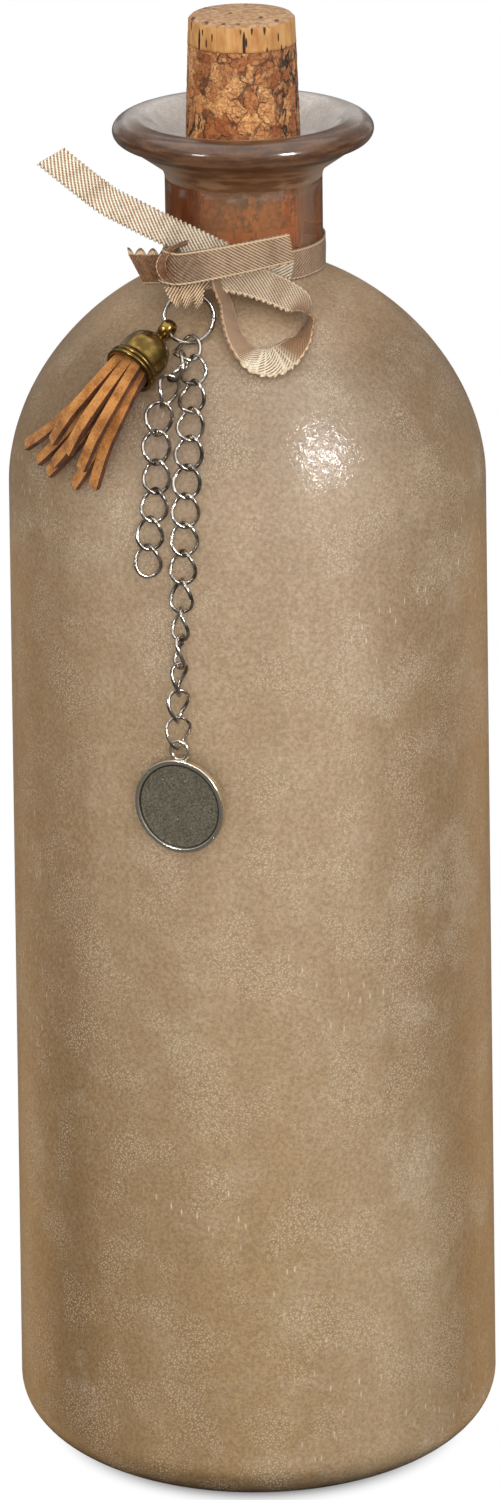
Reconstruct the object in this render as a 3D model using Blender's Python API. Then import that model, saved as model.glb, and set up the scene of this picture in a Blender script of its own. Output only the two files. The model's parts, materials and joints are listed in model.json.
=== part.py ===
# Bottle vase of thick recycled glass, stopped with a tapered cork.
# A ribbon is tied round its neck and carries a jump ring, from which hang a suede tassel
# and two strands of curb chain, the longer one ending in a round charm.
# Metres, +Z up, the front of the bottle faces -Y, and the origin is the middle of the flat foot.

import bpy
import bmesh
from math import acos, asin, cos, pi, radians, sin, sqrt
from mathutils import Matrix, Vector

# Glass bottle, outside
SHOULDER_RADIUS = 0.0500
FOOT_RADIUS = 0.0521
HEEL_RUN = 0.0180
HEEL_RISE = 0.0125
SHOULDER_LEVEL = 0.2162
SHOULDER_RISE_SHARE = 0.962
SHOULDER_EXPONENT = 1.85
NECK_RADIUS = 0.0163
NECK_LENGTH = 0.0200
NECK_FILLET = 0.0012
FLARE_RADIUS = 0.0036
FLARE_TURN = radians(58)
LIP_RISE = 0.0100
LIP_RADIUS = 0.0270
LIP_CREST_RUN = 0.0046
LIP_CREST_RISE = 0.0029
LIP_UNDER_RUN = 0.0026
LIP_UNDER_DROP = 0.0024
DISH_DEPTH = 0.0055
MOUTH_ROUND = 0.0008

# Glass bottle, inside
SIDE_WALL = 0.0030
SHOULDER_WALL = 0.0040
BASE_WALL = 0.0060
INNER_HEEL = 0.0090

# Cork stopper, a long disc of pressed grains between two discs of whole cork
CORK_TOP_RADIUS = 0.0109
CORK_MOUTH_RADIUS = 0.0114
CORK_END_RADIUS = 0.0110
CORK_LENGTH = 0.0486
CORK_PROUD = 0.0209
CORK_DISC = 0.0056
CORK_EDGE = 0.0006
GLUE_LINE = 0.0001

# Clearances
SEAT_GAP = 0.0003
BORE_GAP = 0.0003
LINK_GAP = 0.0003

# Ribbon
RIBBON_WIDTH = 0.0064
RIBBON_THICKNESS = 0.0005
KNOT_WIDTH = 0.0072
KNOT_DEPTH = 0.0050
KNOT_HEIGHT = 0.0066
KNOT_ROUND = 0.0014
KNOT_TURN = radians(-27)
TIE_WIDTH = 0.0054

# Jump ring
RING_RADIUS = 0.0051
RING_WIRE = 0.00043
RING_LIFT = 0.00095
RING_ACROSS = -0.0115
TIE_SLACK = 0.0010

# Curb chain
LINK_HALF_WIDTH = 0.0028
LINK_HALF_HEIGHT = 0.00345
LINK_WIRE = 0.00037
LINK_TWIST = radians(38)
CHAIN_CLEARANCE = 0.0006
# Of each link, its place across from the ring and its stand off the glass beyond the clearance,
# both in shares of a link's half width, and its turn about the strand's length in degrees.
LONG_STRAND_SHARES = (
    (0.01, 0.00, 1), (0.47, 0.00, 18), (0.35, 0.00, 17), (0.20, 0.00, 8), (0.05, 0.00, 0),
    (-0.12, 0.00, 0), (-0.23, 0.00, 0), (-0.33, 0.00, 0), (-0.42, 0.00, 12), (-0.50, 0.00, 30),
    (-0.56, 0.00, 50), (-0.62, 0.00, 72), (-0.70, 0.00, 95), (-0.78, 0.00, 115), (-0.85, 0.00, 130),
)
SHORT_STRAND_SHARES = (
    (-0.46, 0.03, 57), (-1.22, 0.05, -75), (-1.85, 0.17, -38), (-2.12, 0.00, -28), (-2.21, 0.00, -3),
    (-2.40, 0.00, 0), (-2.73, 0.00, 0), (-2.89, 0.00, 0),
)
# The place on the first long link where the short strand is hooked, as a turn round its wire.
SHORT_STRAND_HOOK = radians(236.2)

# Tassel
EYE_RADIUS = 0.00135
EYE_WIRE = 0.00058
CAP_NECK_RADIUS = 0.0014
CAP_NECK_LENGTH = 0.0011
DOME_RADIUS = 0.0051
SKIRT_LENGTH = 0.0034
BEAD_RADIUS = 0.00050
CAP_WALL = 0.00035
TASSEL_EYE_TURN = radians(208)
# The place of the cap's rim, measured round the glass from the front.
TASSEL_AROUND = -0.0257
TASSEL_DROP = 0.0222
TASSEL_LIFT = 0.0119
STRIP_WIDTH = 0.0023
STRIP_THICKNESS = 0.00115
STRIP_SPACING = 0.00250
STRIP_ROW_SPACING = 0.00170
STRIP_LENGTH = 0.0205
STRIP_TUCK = 0.0036
STRIP_HEADING = radians(-38)
# For each strip, its column and row in the cap, its column at the end, its share of the
# strip length, and its height off the glass at the end in strip thicknesses.
STRIP_SHARES = (
    (-1.00, 1.18, -2.80, 0.68, 4.6), (0.00, 1.28, -0.90, 0.56, 5.0), (0.97, 1.26, 0.70, 0.54, 5.1),
    (-1.18, 0.14, -6.50, 1.22, 2.2), (0.00, 0.23, -2.50, 0.88, 2.9), (1.20, 0.02, 1.50, 0.64, 2.3),
    (-1.05, -0.84, -5.10, 1.20, 0.9), (-0.02, -0.90, -3.40, 1.12, 0.9), (1.00, -0.88, -0.60, 0.90, 0.9),
)

# Charm
CHARM_RADIUS = 0.0097
CHARM_THICKNESS = 0.0016
CHARM_RIM = 0.0008
CHARM_RECESS = 0.0004
CHARM_EDGE = 0.0003
CHARM_EYE_RADIUS = 0.00185
CHARM_EYE_WIRE = 0.00050
CHARM_LIFT = 0.0027
CHARM_TURN = radians(14)

# Facets
BOTTLE_SEGMENTS = 48
CORK_SEGMENTS = 32
CAP_SEGMENTS = 24
RING_SEGMENTS = 28
LINK_SEGMENTS = 20
LINK_SIDES = 6
EYE_SEGMENTS = 16
CHARM_SEGMENTS = 36
STRIP_STEPS = 4
EYE_STEP = radians(5)

# Levels and radii worked out from the sizes above
SHOULDER_RISE = SHOULDER_RISE_SHARE * SHOULDER_RADIUS
NECK_FOOT_SINE = sqrt(1 - (NECK_RADIUS / SHOULDER_RADIUS) ** SHOULDER_EXPONENT)
NECK_FOOT_LEVEL = SHOULDER_LEVEL + SHOULDER_RISE * NECK_FOOT_SINE ** (2 / SHOULDER_EXPONENT)
NECK_TOP_LEVEL = NECK_FOOT_LEVEL + NECK_LENGTH
LIP_LEVEL = NECK_TOP_LEVEL + LIP_RISE
CREST_RADIUS = LIP_RADIUS - LIP_CREST_RUN
CREST_LEVEL = LIP_LEVEL + LIP_CREST_RISE
MOUTH_LEVEL = CREST_LEVEL - DISH_DEPTH
CORK_TOP_LEVEL = CREST_LEVEL + CORK_PROUD
CORK_END_LEVEL = CORK_TOP_LEVEL - CORK_LENGTH
BAND_RADIUS = NECK_RADIUS + SEAT_GAP + RIBBON_THICKNESS / 2
BAND_LEVEL = NECK_FOOT_LEVEL + NECK_FILLET + RIBBON_WIDTH / 2
LINK_PITCH = 2 * (LINK_HALF_HEIGHT - LINK_WIRE) - LINK_GAP


def clear_scene():
    for item in list(bpy.data.objects):
        bpy.data.objects.remove(item, do_unlink=True)


def make_material(name, colour, roughness, metallic=0.0):
    material = bpy.data.materials.new(name)
    material.use_nodes = True
    shader = material.node_tree.nodes["Principled BSDF"]
    shader.inputs["Base Color"].default_value = (*colour, 1.0)
    shader.inputs["Roughness"].default_value = roughness
    shader.inputs["Metallic"].default_value = metallic
    return material


def make_materials():
    return {
        "glass": make_material("frosted_glass", (0.42, 0.34, 0.27), 0.45),
        "whole_cork": make_material("whole_cork", (0.62, 0.38, 0.18), 0.80),
        "grain_cork": make_material("grain_cork", (0.50, 0.26, 0.11), 0.85),
        "satin": make_material("satin_ribbon", (0.72, 0.55, 0.40), 0.40),
        "silver": make_material("silver_wire", (0.72, 0.70, 0.68), 0.22, 1.0),
        "bronze": make_material("old_bronze", (0.34, 0.26, 0.12), 0.30, 1.0),
        "suede": make_material("tan_suede", (0.50, 0.26, 0.10), 0.90),
        "pewter": make_material("old_pewter", (0.33, 0.32, 0.28), 0.35, 1.0),
    }


def add_object(name, mesh_builder, material, origin=Vector()):
    """Turn a bmesh in world places into an object whose origin is at the given point."""
    bmesh.ops.recalc_face_normals(mesh_builder, faces=mesh_builder.faces[:])
    bmesh.ops.translate(mesh_builder, verts=mesh_builder.verts[:], vec=-origin)
    mesh = bpy.data.meshes.new(name)
    mesh_builder.to_mesh(mesh)
    mesh_builder.free()
    mesh.materials.append(material)
    mesh.shade_smooth()
    mesh.set_sharp_from_angle(angle=radians(35))
    item = bpy.data.objects.new(name, mesh)
    item.location = origin
    bpy.context.scene.collection.objects.link(item)
    return item


def turned(outline, segments, placing=Matrix.Identity(4)):
    """Spin an outline of (radius, height) points about Z, then place the closed body."""
    body = bmesh.new()
    corners = [body.verts.new((radius, 0, height)) for radius, height in outline]
    edges = [body.edges.new(pair) for pair in zip(corners, corners[1:])]
    bmesh.ops.spin(body, geom=corners + edges, cent=(0, 0, 0), axis=(0, 0, 1), angle=2 * pi,
                   steps=segments, use_merge=True, use_duplicate=False)
    bmesh.ops.remove_doubles(body, verts=body.verts[:], dist=SEAT_GAP / 30)
    bmesh.ops.transform(body, matrix=placing, verts=body.verts[:])
    return body


def lofted(sections, closed=False):
    """Join like sections of points with faces, as a ring or as a bar with flat ends."""
    body = bmesh.new()
    rows = [[body.verts.new(point) for point in section] for section in sections]
    pairs = list(zip(rows, rows[1:]))
    if closed:
        pairs.append((rows[-1], rows[0]))
    else:
        body.faces.new(rows[0])
        body.faces.new(rows[-1])
    for near, far in pairs:
        for index in range(len(near)):
            after = (index + 1) % len(near)
            body.faces.new((near[index], near[after], far[after], far[index]))
    return body


def smooth_route(points, steps):
    """Points of a Catmull-Rom curve through the given vectors, with so many steps a span."""
    padded = [points[0] * 2 - points[1], *points, points[-1] * 2 - points[-2]]
    route = []
    for first, second, third, fourth in zip(padded, padded[1:], padded[2:], padded[3:]):
        for step in range(steps):
            t = step / steps
            route.append(0.5 * (2 * second + (third - first) * t
                                + (2 * first - 5 * second + 4 * third - fourth) * t * t
                                + (3 * second - first - 3 * third + fourth) * t * t * t))
    route.append(points[-1].copy())
    return route


def strap(route, sides, width, thickness):
    """A flat bar along a route, its width along the side direction at each point."""
    sections = []
    for index, place in enumerate(route):
        before = route[max(index - 1, 0)]
        after = route[min(index + 1, len(route) - 1)]
        along = (after - before).normalized()
        side = (sides[index] - along * sides[index].dot(along)).normalized() * (width / 2)
        face = along.cross(side).normalized() * (thickness / 2)
        sections.append([place + side + face, place - side + face, place - side - face, place + side - face])
    return lofted(sections)


def wire_ring(path, wire_radius, sides):
    """A round wire along a closed path that runs round the mean of its points."""
    count = len(path)
    middle = sum(path, Vector()) / count
    sections = []
    for index, place in enumerate(path):
        along = (path[(index + 1) % count] - path[index - 1]).normalized()
        outward = place - middle
        outward = (outward - along * outward.dot(along)).normalized()
        across = along.cross(outward)
        turns = [2 * pi * (side + 0.5) / sides for side in range(sides)]
        sections.append([place + (outward * cos(t) + across * sin(t)) * wire_radius for t in turns])
    return lofted(sections, closed=True)


def join_to(item, other):
    """Unite another body with the item, so that both are one casting."""
    other.hide_render = True
    other.display_type = "WIRE"
    union = item.modifiers.new("one_casting", "BOOLEAN")
    union.operation = "UNION"
    union.object = other


# Bottle

def glass_radius(level):
    """Outer radius of the heel, wall, shoulder or neck at a level."""
    if level < HEEL_RISE:
        drop = 1 - level / HEEL_RISE
        return FOOT_RADIUS - HEEL_RUN * (1 - sqrt(max(0.0, 1 - drop * drop)))
    if level < SHOULDER_LEVEL:
        climb = (level - HEEL_RISE) / (SHOULDER_LEVEL - HEEL_RISE)
        return FOOT_RADIUS + (SHOULDER_RADIUS - FOOT_RADIUS) * climb
    if level < NECK_FOOT_LEVEL:
        sine = ((level - SHOULDER_LEVEL) / SHOULDER_RISE) ** (SHOULDER_EXPONENT / 2)
        return SHOULDER_RADIUS * (1 - sine * sine) ** (1 / SHOULDER_EXPONENT)
    return NECK_RADIUS


def on_glass(across, level, lift):
    """The point at a lift off the glass above the place at this level, and the normal there."""
    step = SEAT_GAP
    slope = (glass_radius(level + step) - glass_radius(level - step)) / (2 * step)
    radius = glass_radius(level)
    foot = Vector((across, -sqrt(radius * radius - across * across), level))
    normal = Vector((foot.x / radius, foot.y / radius, -slope)).normalized()
    return foot + normal * lift, normal


def across_from(around, level):
    """How far across a place lies that is measured round the glass from the front."""
    radius = glass_radius(level)
    return radius * sin(around / radius)


def shoulder_arc(radius, rise, end_radius, steps):
    """Points of a shoulder from its foot up to where it has drawn in to the end radius."""
    last = acos((end_radius / radius) ** (SHOULDER_EXPONENT / 2))
    points = []
    for step in range(steps + 1):
        turn = last * step / steps
        points.append((radius * cos(turn) ** (2 / SHOULDER_EXPONENT),
                       SHOULDER_LEVEL + rise * sin(turn) ** (2 / SHOULDER_EXPONENT)))
    return points


def quarter(middle, run, rise, start, end, steps):
    """Points on an ellipse about a middle, from one turn to another."""
    turns = [start + (end - start) * step / steps for step in range(steps + 1)]
    return [(middle[0] + run * cos(turn), middle[1] + rise * sin(turn)) for turn in turns]


def cork_radius(level):
    if level > MOUTH_LEVEL:
        share = (level - MOUTH_LEVEL) / (CORK_TOP_LEVEL - MOUTH_LEVEL)
        return CORK_MOUTH_RADIUS + (CORK_TOP_RADIUS - CORK_MOUTH_RADIUS) * share
    share = (level - CORK_END_LEVEL) / (MOUTH_LEVEL - CORK_END_LEVEL)
    return CORK_END_RADIUS + (CORK_MOUTH_RADIUS - CORK_END_RADIUS) * share


def outer_outline():
    heel = quarter((FOOT_RADIUS - HEEL_RUN, HEEL_RISE), HEEL_RUN, HEEL_RISE, -pi / 2, 0, 6)
    shoulder = shoulder_arc(SHOULDER_RADIUS, SHOULDER_RISE, NECK_RADIUS + NECK_FILLET, 12)
    flare_middle = (NECK_RADIUS + FLARE_RADIUS, NECK_TOP_LEVEL)
    flare = quarter(flare_middle, FLARE_RADIUS, FLARE_RADIUS, pi, pi - FLARE_TURN, 4)
    roll_middle = (LIP_RADIUS - LIP_UNDER_RUN, LIP_LEVEL)
    under = quarter(roll_middle, LIP_UNDER_RUN, LIP_UNDER_DROP, -pi / 2, 0, 4)
    crest = quarter((CREST_RADIUS, LIP_LEVEL), LIP_CREST_RUN, LIP_CREST_RISE, 0, pi / 2, 5)
    return heel + shoulder + [(NECK_RADIUS, NECK_FOOT_LEVEL + NECK_FILLET)] + flare + under + crest[1:]


def inner_outline():
    mouth_radius = CORK_MOUTH_RADIUS + BORE_GAP
    dish_run = CREST_RADIUS - mouth_radius - MOUTH_ROUND
    dish = []
    for step in range(1, 6):
        share = 1 - step / 5
        level = MOUTH_LEVEL + DISH_DEPTH * (1 - cos(pi * share)) / 2
        dish.append((mouth_radius + MOUTH_ROUND + dish_run * share, level))
    bore_end = cork_radius(CORK_END_LEVEL) + BORE_GAP
    bore = [(mouth_radius, MOUTH_LEVEL - MOUTH_ROUND), (bore_end, CORK_END_LEVEL)]
    inner_shoulder_radius = SHOULDER_RADIUS - SIDE_WALL
    shoulder = shoulder_arc(inner_shoulder_radius, SHOULDER_RISE - SHOULDER_WALL, bore_end, 9)
    inner_foot = FOOT_RADIUS - SIDE_WALL
    heel_middle = (inner_foot - INNER_HEEL, BASE_WALL + INNER_HEEL)
    heel = quarter(heel_middle, INNER_HEEL, INNER_HEEL, 0, -pi / 2, 4)
    return dish + bore + list(reversed(shoulder)) + heel + [(0, BASE_WALL)]


def make_bottle(materials):
    outline = [(0, 0)] + outer_outline() + inner_outline()
    add_object("glass_bottle", turned(outline, BOTTLE_SEGMENTS), materials["glass"])


# Cork

def make_cork(materials):
    joint_levels = (CORK_END_LEVEL + CORK_DISC, CORK_TOP_LEVEL - CORK_DISC)
    spans = (
        ("cork_lower_disc", CORK_END_LEVEL, joint_levels[0] - GLUE_LINE, "whole_cork"),
        ("cork_body", joint_levels[0], joint_levels[1], "grain_cork"),
        ("cork_upper_disc", joint_levels[1] + GLUE_LINE, CORK_TOP_LEVEL, "whole_cork"),
    )
    origin = Vector((0, 0, CORK_END_LEVEL))
    for name, low, high, finish in spans:
        levels = [low, high]
        if low < MOUTH_LEVEL < high:
            levels.insert(1, MOUTH_LEVEL)
        outline = [(0, low)]
        for level in levels:
            radius = cork_radius(level)
            if level == CORK_END_LEVEL:
                outline += [(radius - CORK_EDGE, level), (radius, level + CORK_EDGE)]
            elif level == CORK_TOP_LEVEL:
                outline += [(radius, level - CORK_EDGE), (radius - CORK_EDGE, level)]
            else:
                outline.append((radius, level))
        outline.append((0, high))
        add_object(name, turned(outline, CORK_SEGMENTS), materials[finish], origin)


# Ribbon

# Routes are (across, forward, up) shares of the ribbon's width from the middle of the knot,
# each with the direction of the ribbon's width there.
TAIL_SHARES = (
    ((-0.39, -0.08, 1.05), (0.50, 0.05, 0.86)),
    ((-1.60, -0.28, 1.87), (0.50, 0.05, 0.86)),
    ((-3.15, -0.44, 2.90), (0.50, -0.05, 0.86)),
    ((-4.78, -0.52, 3.95), (0.48, -0.10, 0.87)),
)
SHORT_TAIL_SHARES = (
    ((-0.66, 0.00, 0.12), (0.10, 0.05, 0.99)),
    ((-1.28, -0.14, 0.24), (0.12, 0.08, 0.99)),
    ((-2.20, -0.38, 0.52), (0.17, 0.10, 0.98)),
)
BOW_SHARES = (
    ((-0.45, -0.34, 0.52), (0.10, 0.05, 0.99)),
    ((-0.78, -0.62, 0.55), (0.12, 0.05, 0.99)),
    ((-1.03, -1.14, 0.58), (0.15, 0.00, 0.98)),
    ((-0.55, -1.54, 0.62), (0.05, -0.10, 0.99)),
    ((0.00, -1.62, 0.69), (-0.05, -0.12, 0.99)),
    ((1.58, -1.48, 0.92), (-0.12, -0.14, 0.98)),
    ((2.88, -1.17, 1.08), (-0.14, -0.15, 0.98)),
)
# The loop reaches down over the shoulder, so its middle entries are shares of the ribbon's width
# in front of the glass.
LOOP_SHARES = (
    ((0.74, 0.78, -0.74), (0.80, -0.35, 0.40)),
    ((1.02, 1.13, -1.02), (0.78, -0.20, 0.52)),
    ((1.40, 0.67, -1.66), (0.66, 0.10, 0.62)),
    ((1.75, 0.36, -2.24), (0.32, 0.55, 0.66)),
    ((2.23, 0.28, -2.36), (0.00, 0.75, 0.66)),
    ((2.80, 0.60, -2.00), (-0.35, 0.80, 0.50)),
    ((3.40, 1.11, -1.47), (-0.30, 0.95, 0.05)),
    ((3.52, 1.69, -1.00), (-0.10, 0.98, 0.10)),
    ((3.16, 1.85, -0.60), (0.20, 0.80, 0.55)),
    ((2.36, 1.03, -0.17), (0.30, 0.30, 0.90)),
    ((1.58, 0.69, 0.08), (0.20, 0.10, 0.97)),
    ((0.66, 0.68, 0.16), (0.10, 0.00, 0.99)),
)
TIE_FORWARD_SHARES = (-0.60, -0.80, -1.20, -1.46, -1.64, -1.66, -1.54)
TIE_UP_SHARES = (-0.08, -0.44, -0.64, -0.74, -0.62, -0.36, -0.20)
TIE_LOWEST = 2


def knot_middle():
    radius = BAND_RADIUS + RIBBON_THICKNESS / 2 + SEAT_GAP + KNOT_DEPTH / 2
    return Vector((radius * sin(KNOT_TURN), -radius * cos(KNOT_TURN), BAND_LEVEL))


def knot_places(table):
    return [knot_middle() + Vector(place) * RIBBON_WIDTH for place, side in table]


def loop_places(table):
    places = []
    for place, (across, stand_off, up) in zip(knot_places(table), [entry[0] for entry in table]):
        radius = glass_radius(place.z)
        place.y = -sqrt(radius * radius - place.x * place.x) - stand_off * RIBBON_WIDTH
        places.append(place)
    return places


def ribbon_strap(table, places, steps):
    sides = [Vector(side).normalized() for place, side in table]
    return strap(smooth_route(places, steps), smooth_route(sides, steps), RIBBON_WIDTH, RIBBON_THICKNESS)


def make_neck_band(material):
    half_width = RIBBON_WIDTH / 2
    half_thickness = RIBBON_THICKNESS / 2
    inner = BAND_RADIUS - half_thickness
    outer = BAND_RADIUS + half_thickness
    sections = []
    for step in range(BOTTLE_SEGMENTS):
        turn = 2 * pi * step / BOTTLE_SEGMENTS
        around = Vector((cos(turn), sin(turn), 0))
        low = Vector((0, 0, BAND_LEVEL - half_width))
        high = Vector((0, 0, BAND_LEVEL + half_width))
        sections.append([around * inner + low, around * outer + low,
                         around * outer + high, around * inner + high])
    add_object("ribbon_neck_band", lofted(sections, closed=True), material)


def make_knot(material):
    body = bmesh.new()
    bmesh.ops.create_cube(body, size=1.0)
    bmesh.ops.scale(body, vec=(KNOT_WIDTH, KNOT_DEPTH, KNOT_HEIGHT), verts=body.verts[:])
    bmesh.ops.bevel(body, geom=body.edges[:], offset=KNOT_ROUND, segments=2, profile=0.5,
                    affect="EDGES", material=-1)
    placing = Matrix.Translation(knot_middle()) @ Matrix.Rotation(KNOT_TURN, 4, "Z")
    bmesh.ops.transform(body, matrix=placing, verts=body.verts[:])
    add_object("ribbon_knot", body, material)


def tie_route():
    """The fold of ribbon that passes through the jump ring under its top and up in front."""
    middle = knot_middle()
    points = []
    for forward, up in zip(TIE_FORWARD_SHARES, TIE_UP_SHARES):
        offset = Vector((0, forward, up)) * RIBBON_WIDTH
        points.append(Vector((RING_ACROSS, middle.y, middle.z)) + offset)
    return smooth_route(points, 2)


def make_ribbon(materials):
    satin = materials["satin"]
    make_neck_band(satin)
    make_knot(satin)
    for name, table in (("ribbon_long_tail", TAIL_SHARES), ("ribbon_short_tail", SHORT_TAIL_SHARES),
                        ("ribbon_bow_fold", BOW_SHARES)):
        add_object(name, ribbon_strap(table, knot_places(table), 3), satin)
    loop = ribbon_strap(LOOP_SHARES, loop_places(LOOP_SHARES), 3)
    add_object("ribbon_hanging_loop", loop, satin)
    route = tie_route()
    sides = [Vector((1, 0, 0))] * len(route)
    add_object("ribbon_tie_fold", strap(route, sides, TIE_WIDTH, RIBBON_THICKNESS), satin)


# Jump ring

def ring_top():
    """Middle of the ring's wire where it hangs in the tie fold."""
    middle = knot_middle()
    forward = TIE_FORWARD_SHARES[TIE_LOWEST] * RIBBON_WIDTH
    up = TIE_UP_SHARES[TIE_LOWEST] * RIBBON_WIDTH + RIBBON_THICKNESS / 2 + RING_WIRE + TIE_SLACK
    return Vector((RING_ACROSS, middle.y + forward, middle.z + up))


def ring_point(turn):
    """A point on the ring, which leans out until its lowest place is at its lift off the glass."""
    top = ring_top()
    (rest, normal), level = place_below(top, RING_ACROSS, top.z, RING_LIFT, 2 * RING_RADIUS)
    up = Vector((0, top.y - rest.y, top.z - rest.z)).normalized()
    middle = top - up * RING_RADIUS
    return middle + (Vector((1, 0, 0)) * cos(turn) + up * sin(turn)) * RING_RADIUS


def make_jump_ring(material):
    path = [ring_point(2 * pi * step / RING_SEGMENTS) for step in range(RING_SEGMENTS)]
    add_object("jump_ring", wire_ring(path, RING_WIRE, LINK_SIDES), material, ring_top())


# Chain

def frame_from(up, toward):
    """Directions across, up and front, with the front as near as can be to a given one."""
    up = up.normalized()
    front = (toward - up * toward.dot(up)).normalized()
    return up.cross(front), up, front


def turned_frame(frame, turn):
    across, up, front = frame
    return across * cos(turn) + front * sin(turn), up, front * cos(turn) - across * sin(turn)


def link_point(middle, frame, turn):
    """A point on the middle line of one curb link, an oval twisted about its length."""
    across, up, front = frame
    twist = LINK_TWIST * sin(turn)
    reach = LINK_HALF_WIDTH * cos(turn)
    sideways = across * (reach * cos(twist)) + front * (reach * sin(twist))
    return middle + sideways + up * (LINK_HALF_HEIGHT * sin(turn))


def link_path(middle, frame):
    return [link_point(middle, frame, 2 * pi * step / LINK_SEGMENTS) for step in range(LINK_SEGMENTS)]


def place_below(previous, across, level, lift, distance):
    """The place off the glass that lies a distance below the previous one, found by halving."""
    high = level
    low = level - 3 * distance
    for turn in range(40):
        middle = (high + low) / 2
        if (on_glass(across, middle, lift)[0] - previous).length < distance:
            high = middle
        else:
            low = middle
    return on_glass(across, middle, lift), middle


def link_depth(turn):
    """How far the wire of a link reaches back from its middle when it has this turn."""
    places = [2 * pi * step / LINK_SEGMENTS for step in range(LINK_SEGMENTS)]
    reach = max(cos(place) * sin(LINK_TWIST * sin(place) + turn) for place in places)
    return LINK_WIRE + LINK_HALF_WIDTH * reach


def hang_strand(start, first_distance, shares):
    """Middles, frames and hinge points of the links of a strand that hangs from a start point."""
    middles = []
    normals = []
    previous = start
    level = start.z - LINK_HALF_WIDTH / 2
    distance = first_distance
    for across, stand_off, turn in shares:
        lift = CHAIN_CLEARANCE + link_depth(radians(turn)) + stand_off * LINK_HALF_WIDTH
        place = RING_ACROSS + across * LINK_HALF_WIDTH
        (previous, normal), level = place_below(previous, place, level, lift, distance)
        middles.append(previous)
        normals.append(normal)
        distance = LINK_PITCH
    hinges = [start] + [(near + far) / 2 for near, far in zip(middles, middles[1:])]
    line = [start * 2 - middles[0]] + middles + [middles[-1] * 2 - middles[-2]]
    frames = []
    for index, (across, stand_off, turn) in enumerate(shares):
        frame = frame_from(line[index] - line[index + 2], normals[index])
        frames.append(turned_frame(frame, radians(turn)))
    return middles, frames, hinges, level


def long_strand():
    first = LINK_HALF_HEIGHT - LINK_WIRE - RING_WIRE - LINK_GAP
    return hang_strand(ring_point(-pi / 2), first, LONG_STRAND_SHARES)


def short_strand():
    middles, frames, hinges, level = long_strand()
    hook = link_point(middles[0], frames[0], SHORT_STRAND_HOOK)
    start = hook + (middles[0] - hook).normalized() * (LINK_WIRE + LINK_GAP / 2)
    return hang_strand(start, LINK_HALF_HEIGHT - LINK_WIRE - LINK_GAP / 2, SHORT_STRAND_SHARES)


def make_chain(material):
    for prefix, strand in (("long_strand_link", long_strand()), ("short_strand_link", short_strand())):
        middles, frames, hinges, level = strand
        for number, (middle, frame, hinge) in enumerate(zip(middles, frames, hinges), start=1):
            body = wire_ring(link_path(middle, frame), LINK_WIRE, LINK_SIDES)
            add_object(f"{prefix}_{number:02d}", body, material, hinge)


# Tassel

def tassel_frame():
    """Middle of the tassel's eye on the jump ring, with its side, its axis and its front."""
    eye = ring_point(TASSEL_EYE_TURN)
    level = NECK_FOOT_LEVEL - TASSEL_DROP
    rim, normal = on_glass(across_from(TASSEL_AROUND, level), level, TASSEL_LIFT)
    side, up, front = frame_from(eye - rim, normal)
    return eye, side, up * -1, front


def cap_outline():
    """Radius and distance from the eye of the cap's outside, then of its open inside."""
    neck_start = EYE_RADIUS
    dome_start = EYE_RADIUS + EYE_WIRE + CAP_NECK_LENGTH
    lean = asin(CAP_NECK_RADIUS / DOME_RADIUS)
    dome_middle = dome_start + DOME_RADIUS * cos(lean)
    dome = [(DOME_RADIUS * sin(turn), dome_middle - DOME_RADIUS * cos(turn))
            for turn in [lean + (pi / 2 - lean) * step / 7 for step in range(8)]]
    outline = [(0, neck_start), (CAP_NECK_RADIUS, neck_start)] + dome
    level = dome_middle + SKIRT_LENGTH
    for bead in range(2):
        for turn in (-pi / 2, -pi / 4, 0, pi / 4):
            outline.append((DOME_RADIUS + BEAD_RADIUS * cos(turn), level + BEAD_RADIUS * (1 + sin(turn))))
        level += 2 * BEAD_RADIUS
    inside = DOME_RADIUS - CAP_WALL
    outline += [(DOME_RADIUS, level), (inside, level), (inside, dome_middle), (0, dome_middle)]
    return outline, level


def place_along(origin, side, axis, front):
    """The matrix that stands a body turned about Z on an axis, its foot at the origin."""
    return Matrix.Translation(origin) @ Matrix((side, front, axis)).transposed().to_4x4()


def make_cap(material):
    eye, side, axis, front = tassel_frame()
    outline, rim = cap_outline()
    cap = add_object("tassel_cap", turned(outline, CAP_SEGMENTS, place_along(eye, side, axis, front)),
                     material, eye)
    tangent = ring_point(TASSEL_EYE_TURN + EYE_STEP) - ring_point(TASSEL_EYE_TURN - EYE_STEP)
    tangent = (tangent - axis * tangent.dot(axis)).normalized()
    across = axis.cross(tangent)
    turns = [2 * pi * step / EYE_SEGMENTS for step in range(EYE_SEGMENTS)]
    path = [eye + (across * cos(turn) + axis * sin(turn)) * EYE_RADIUS for turn in turns]
    join_to(cap, add_object("eye_of_cap", wire_ring(path, EYE_WIRE, LINK_SIDES), material, eye))


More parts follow.
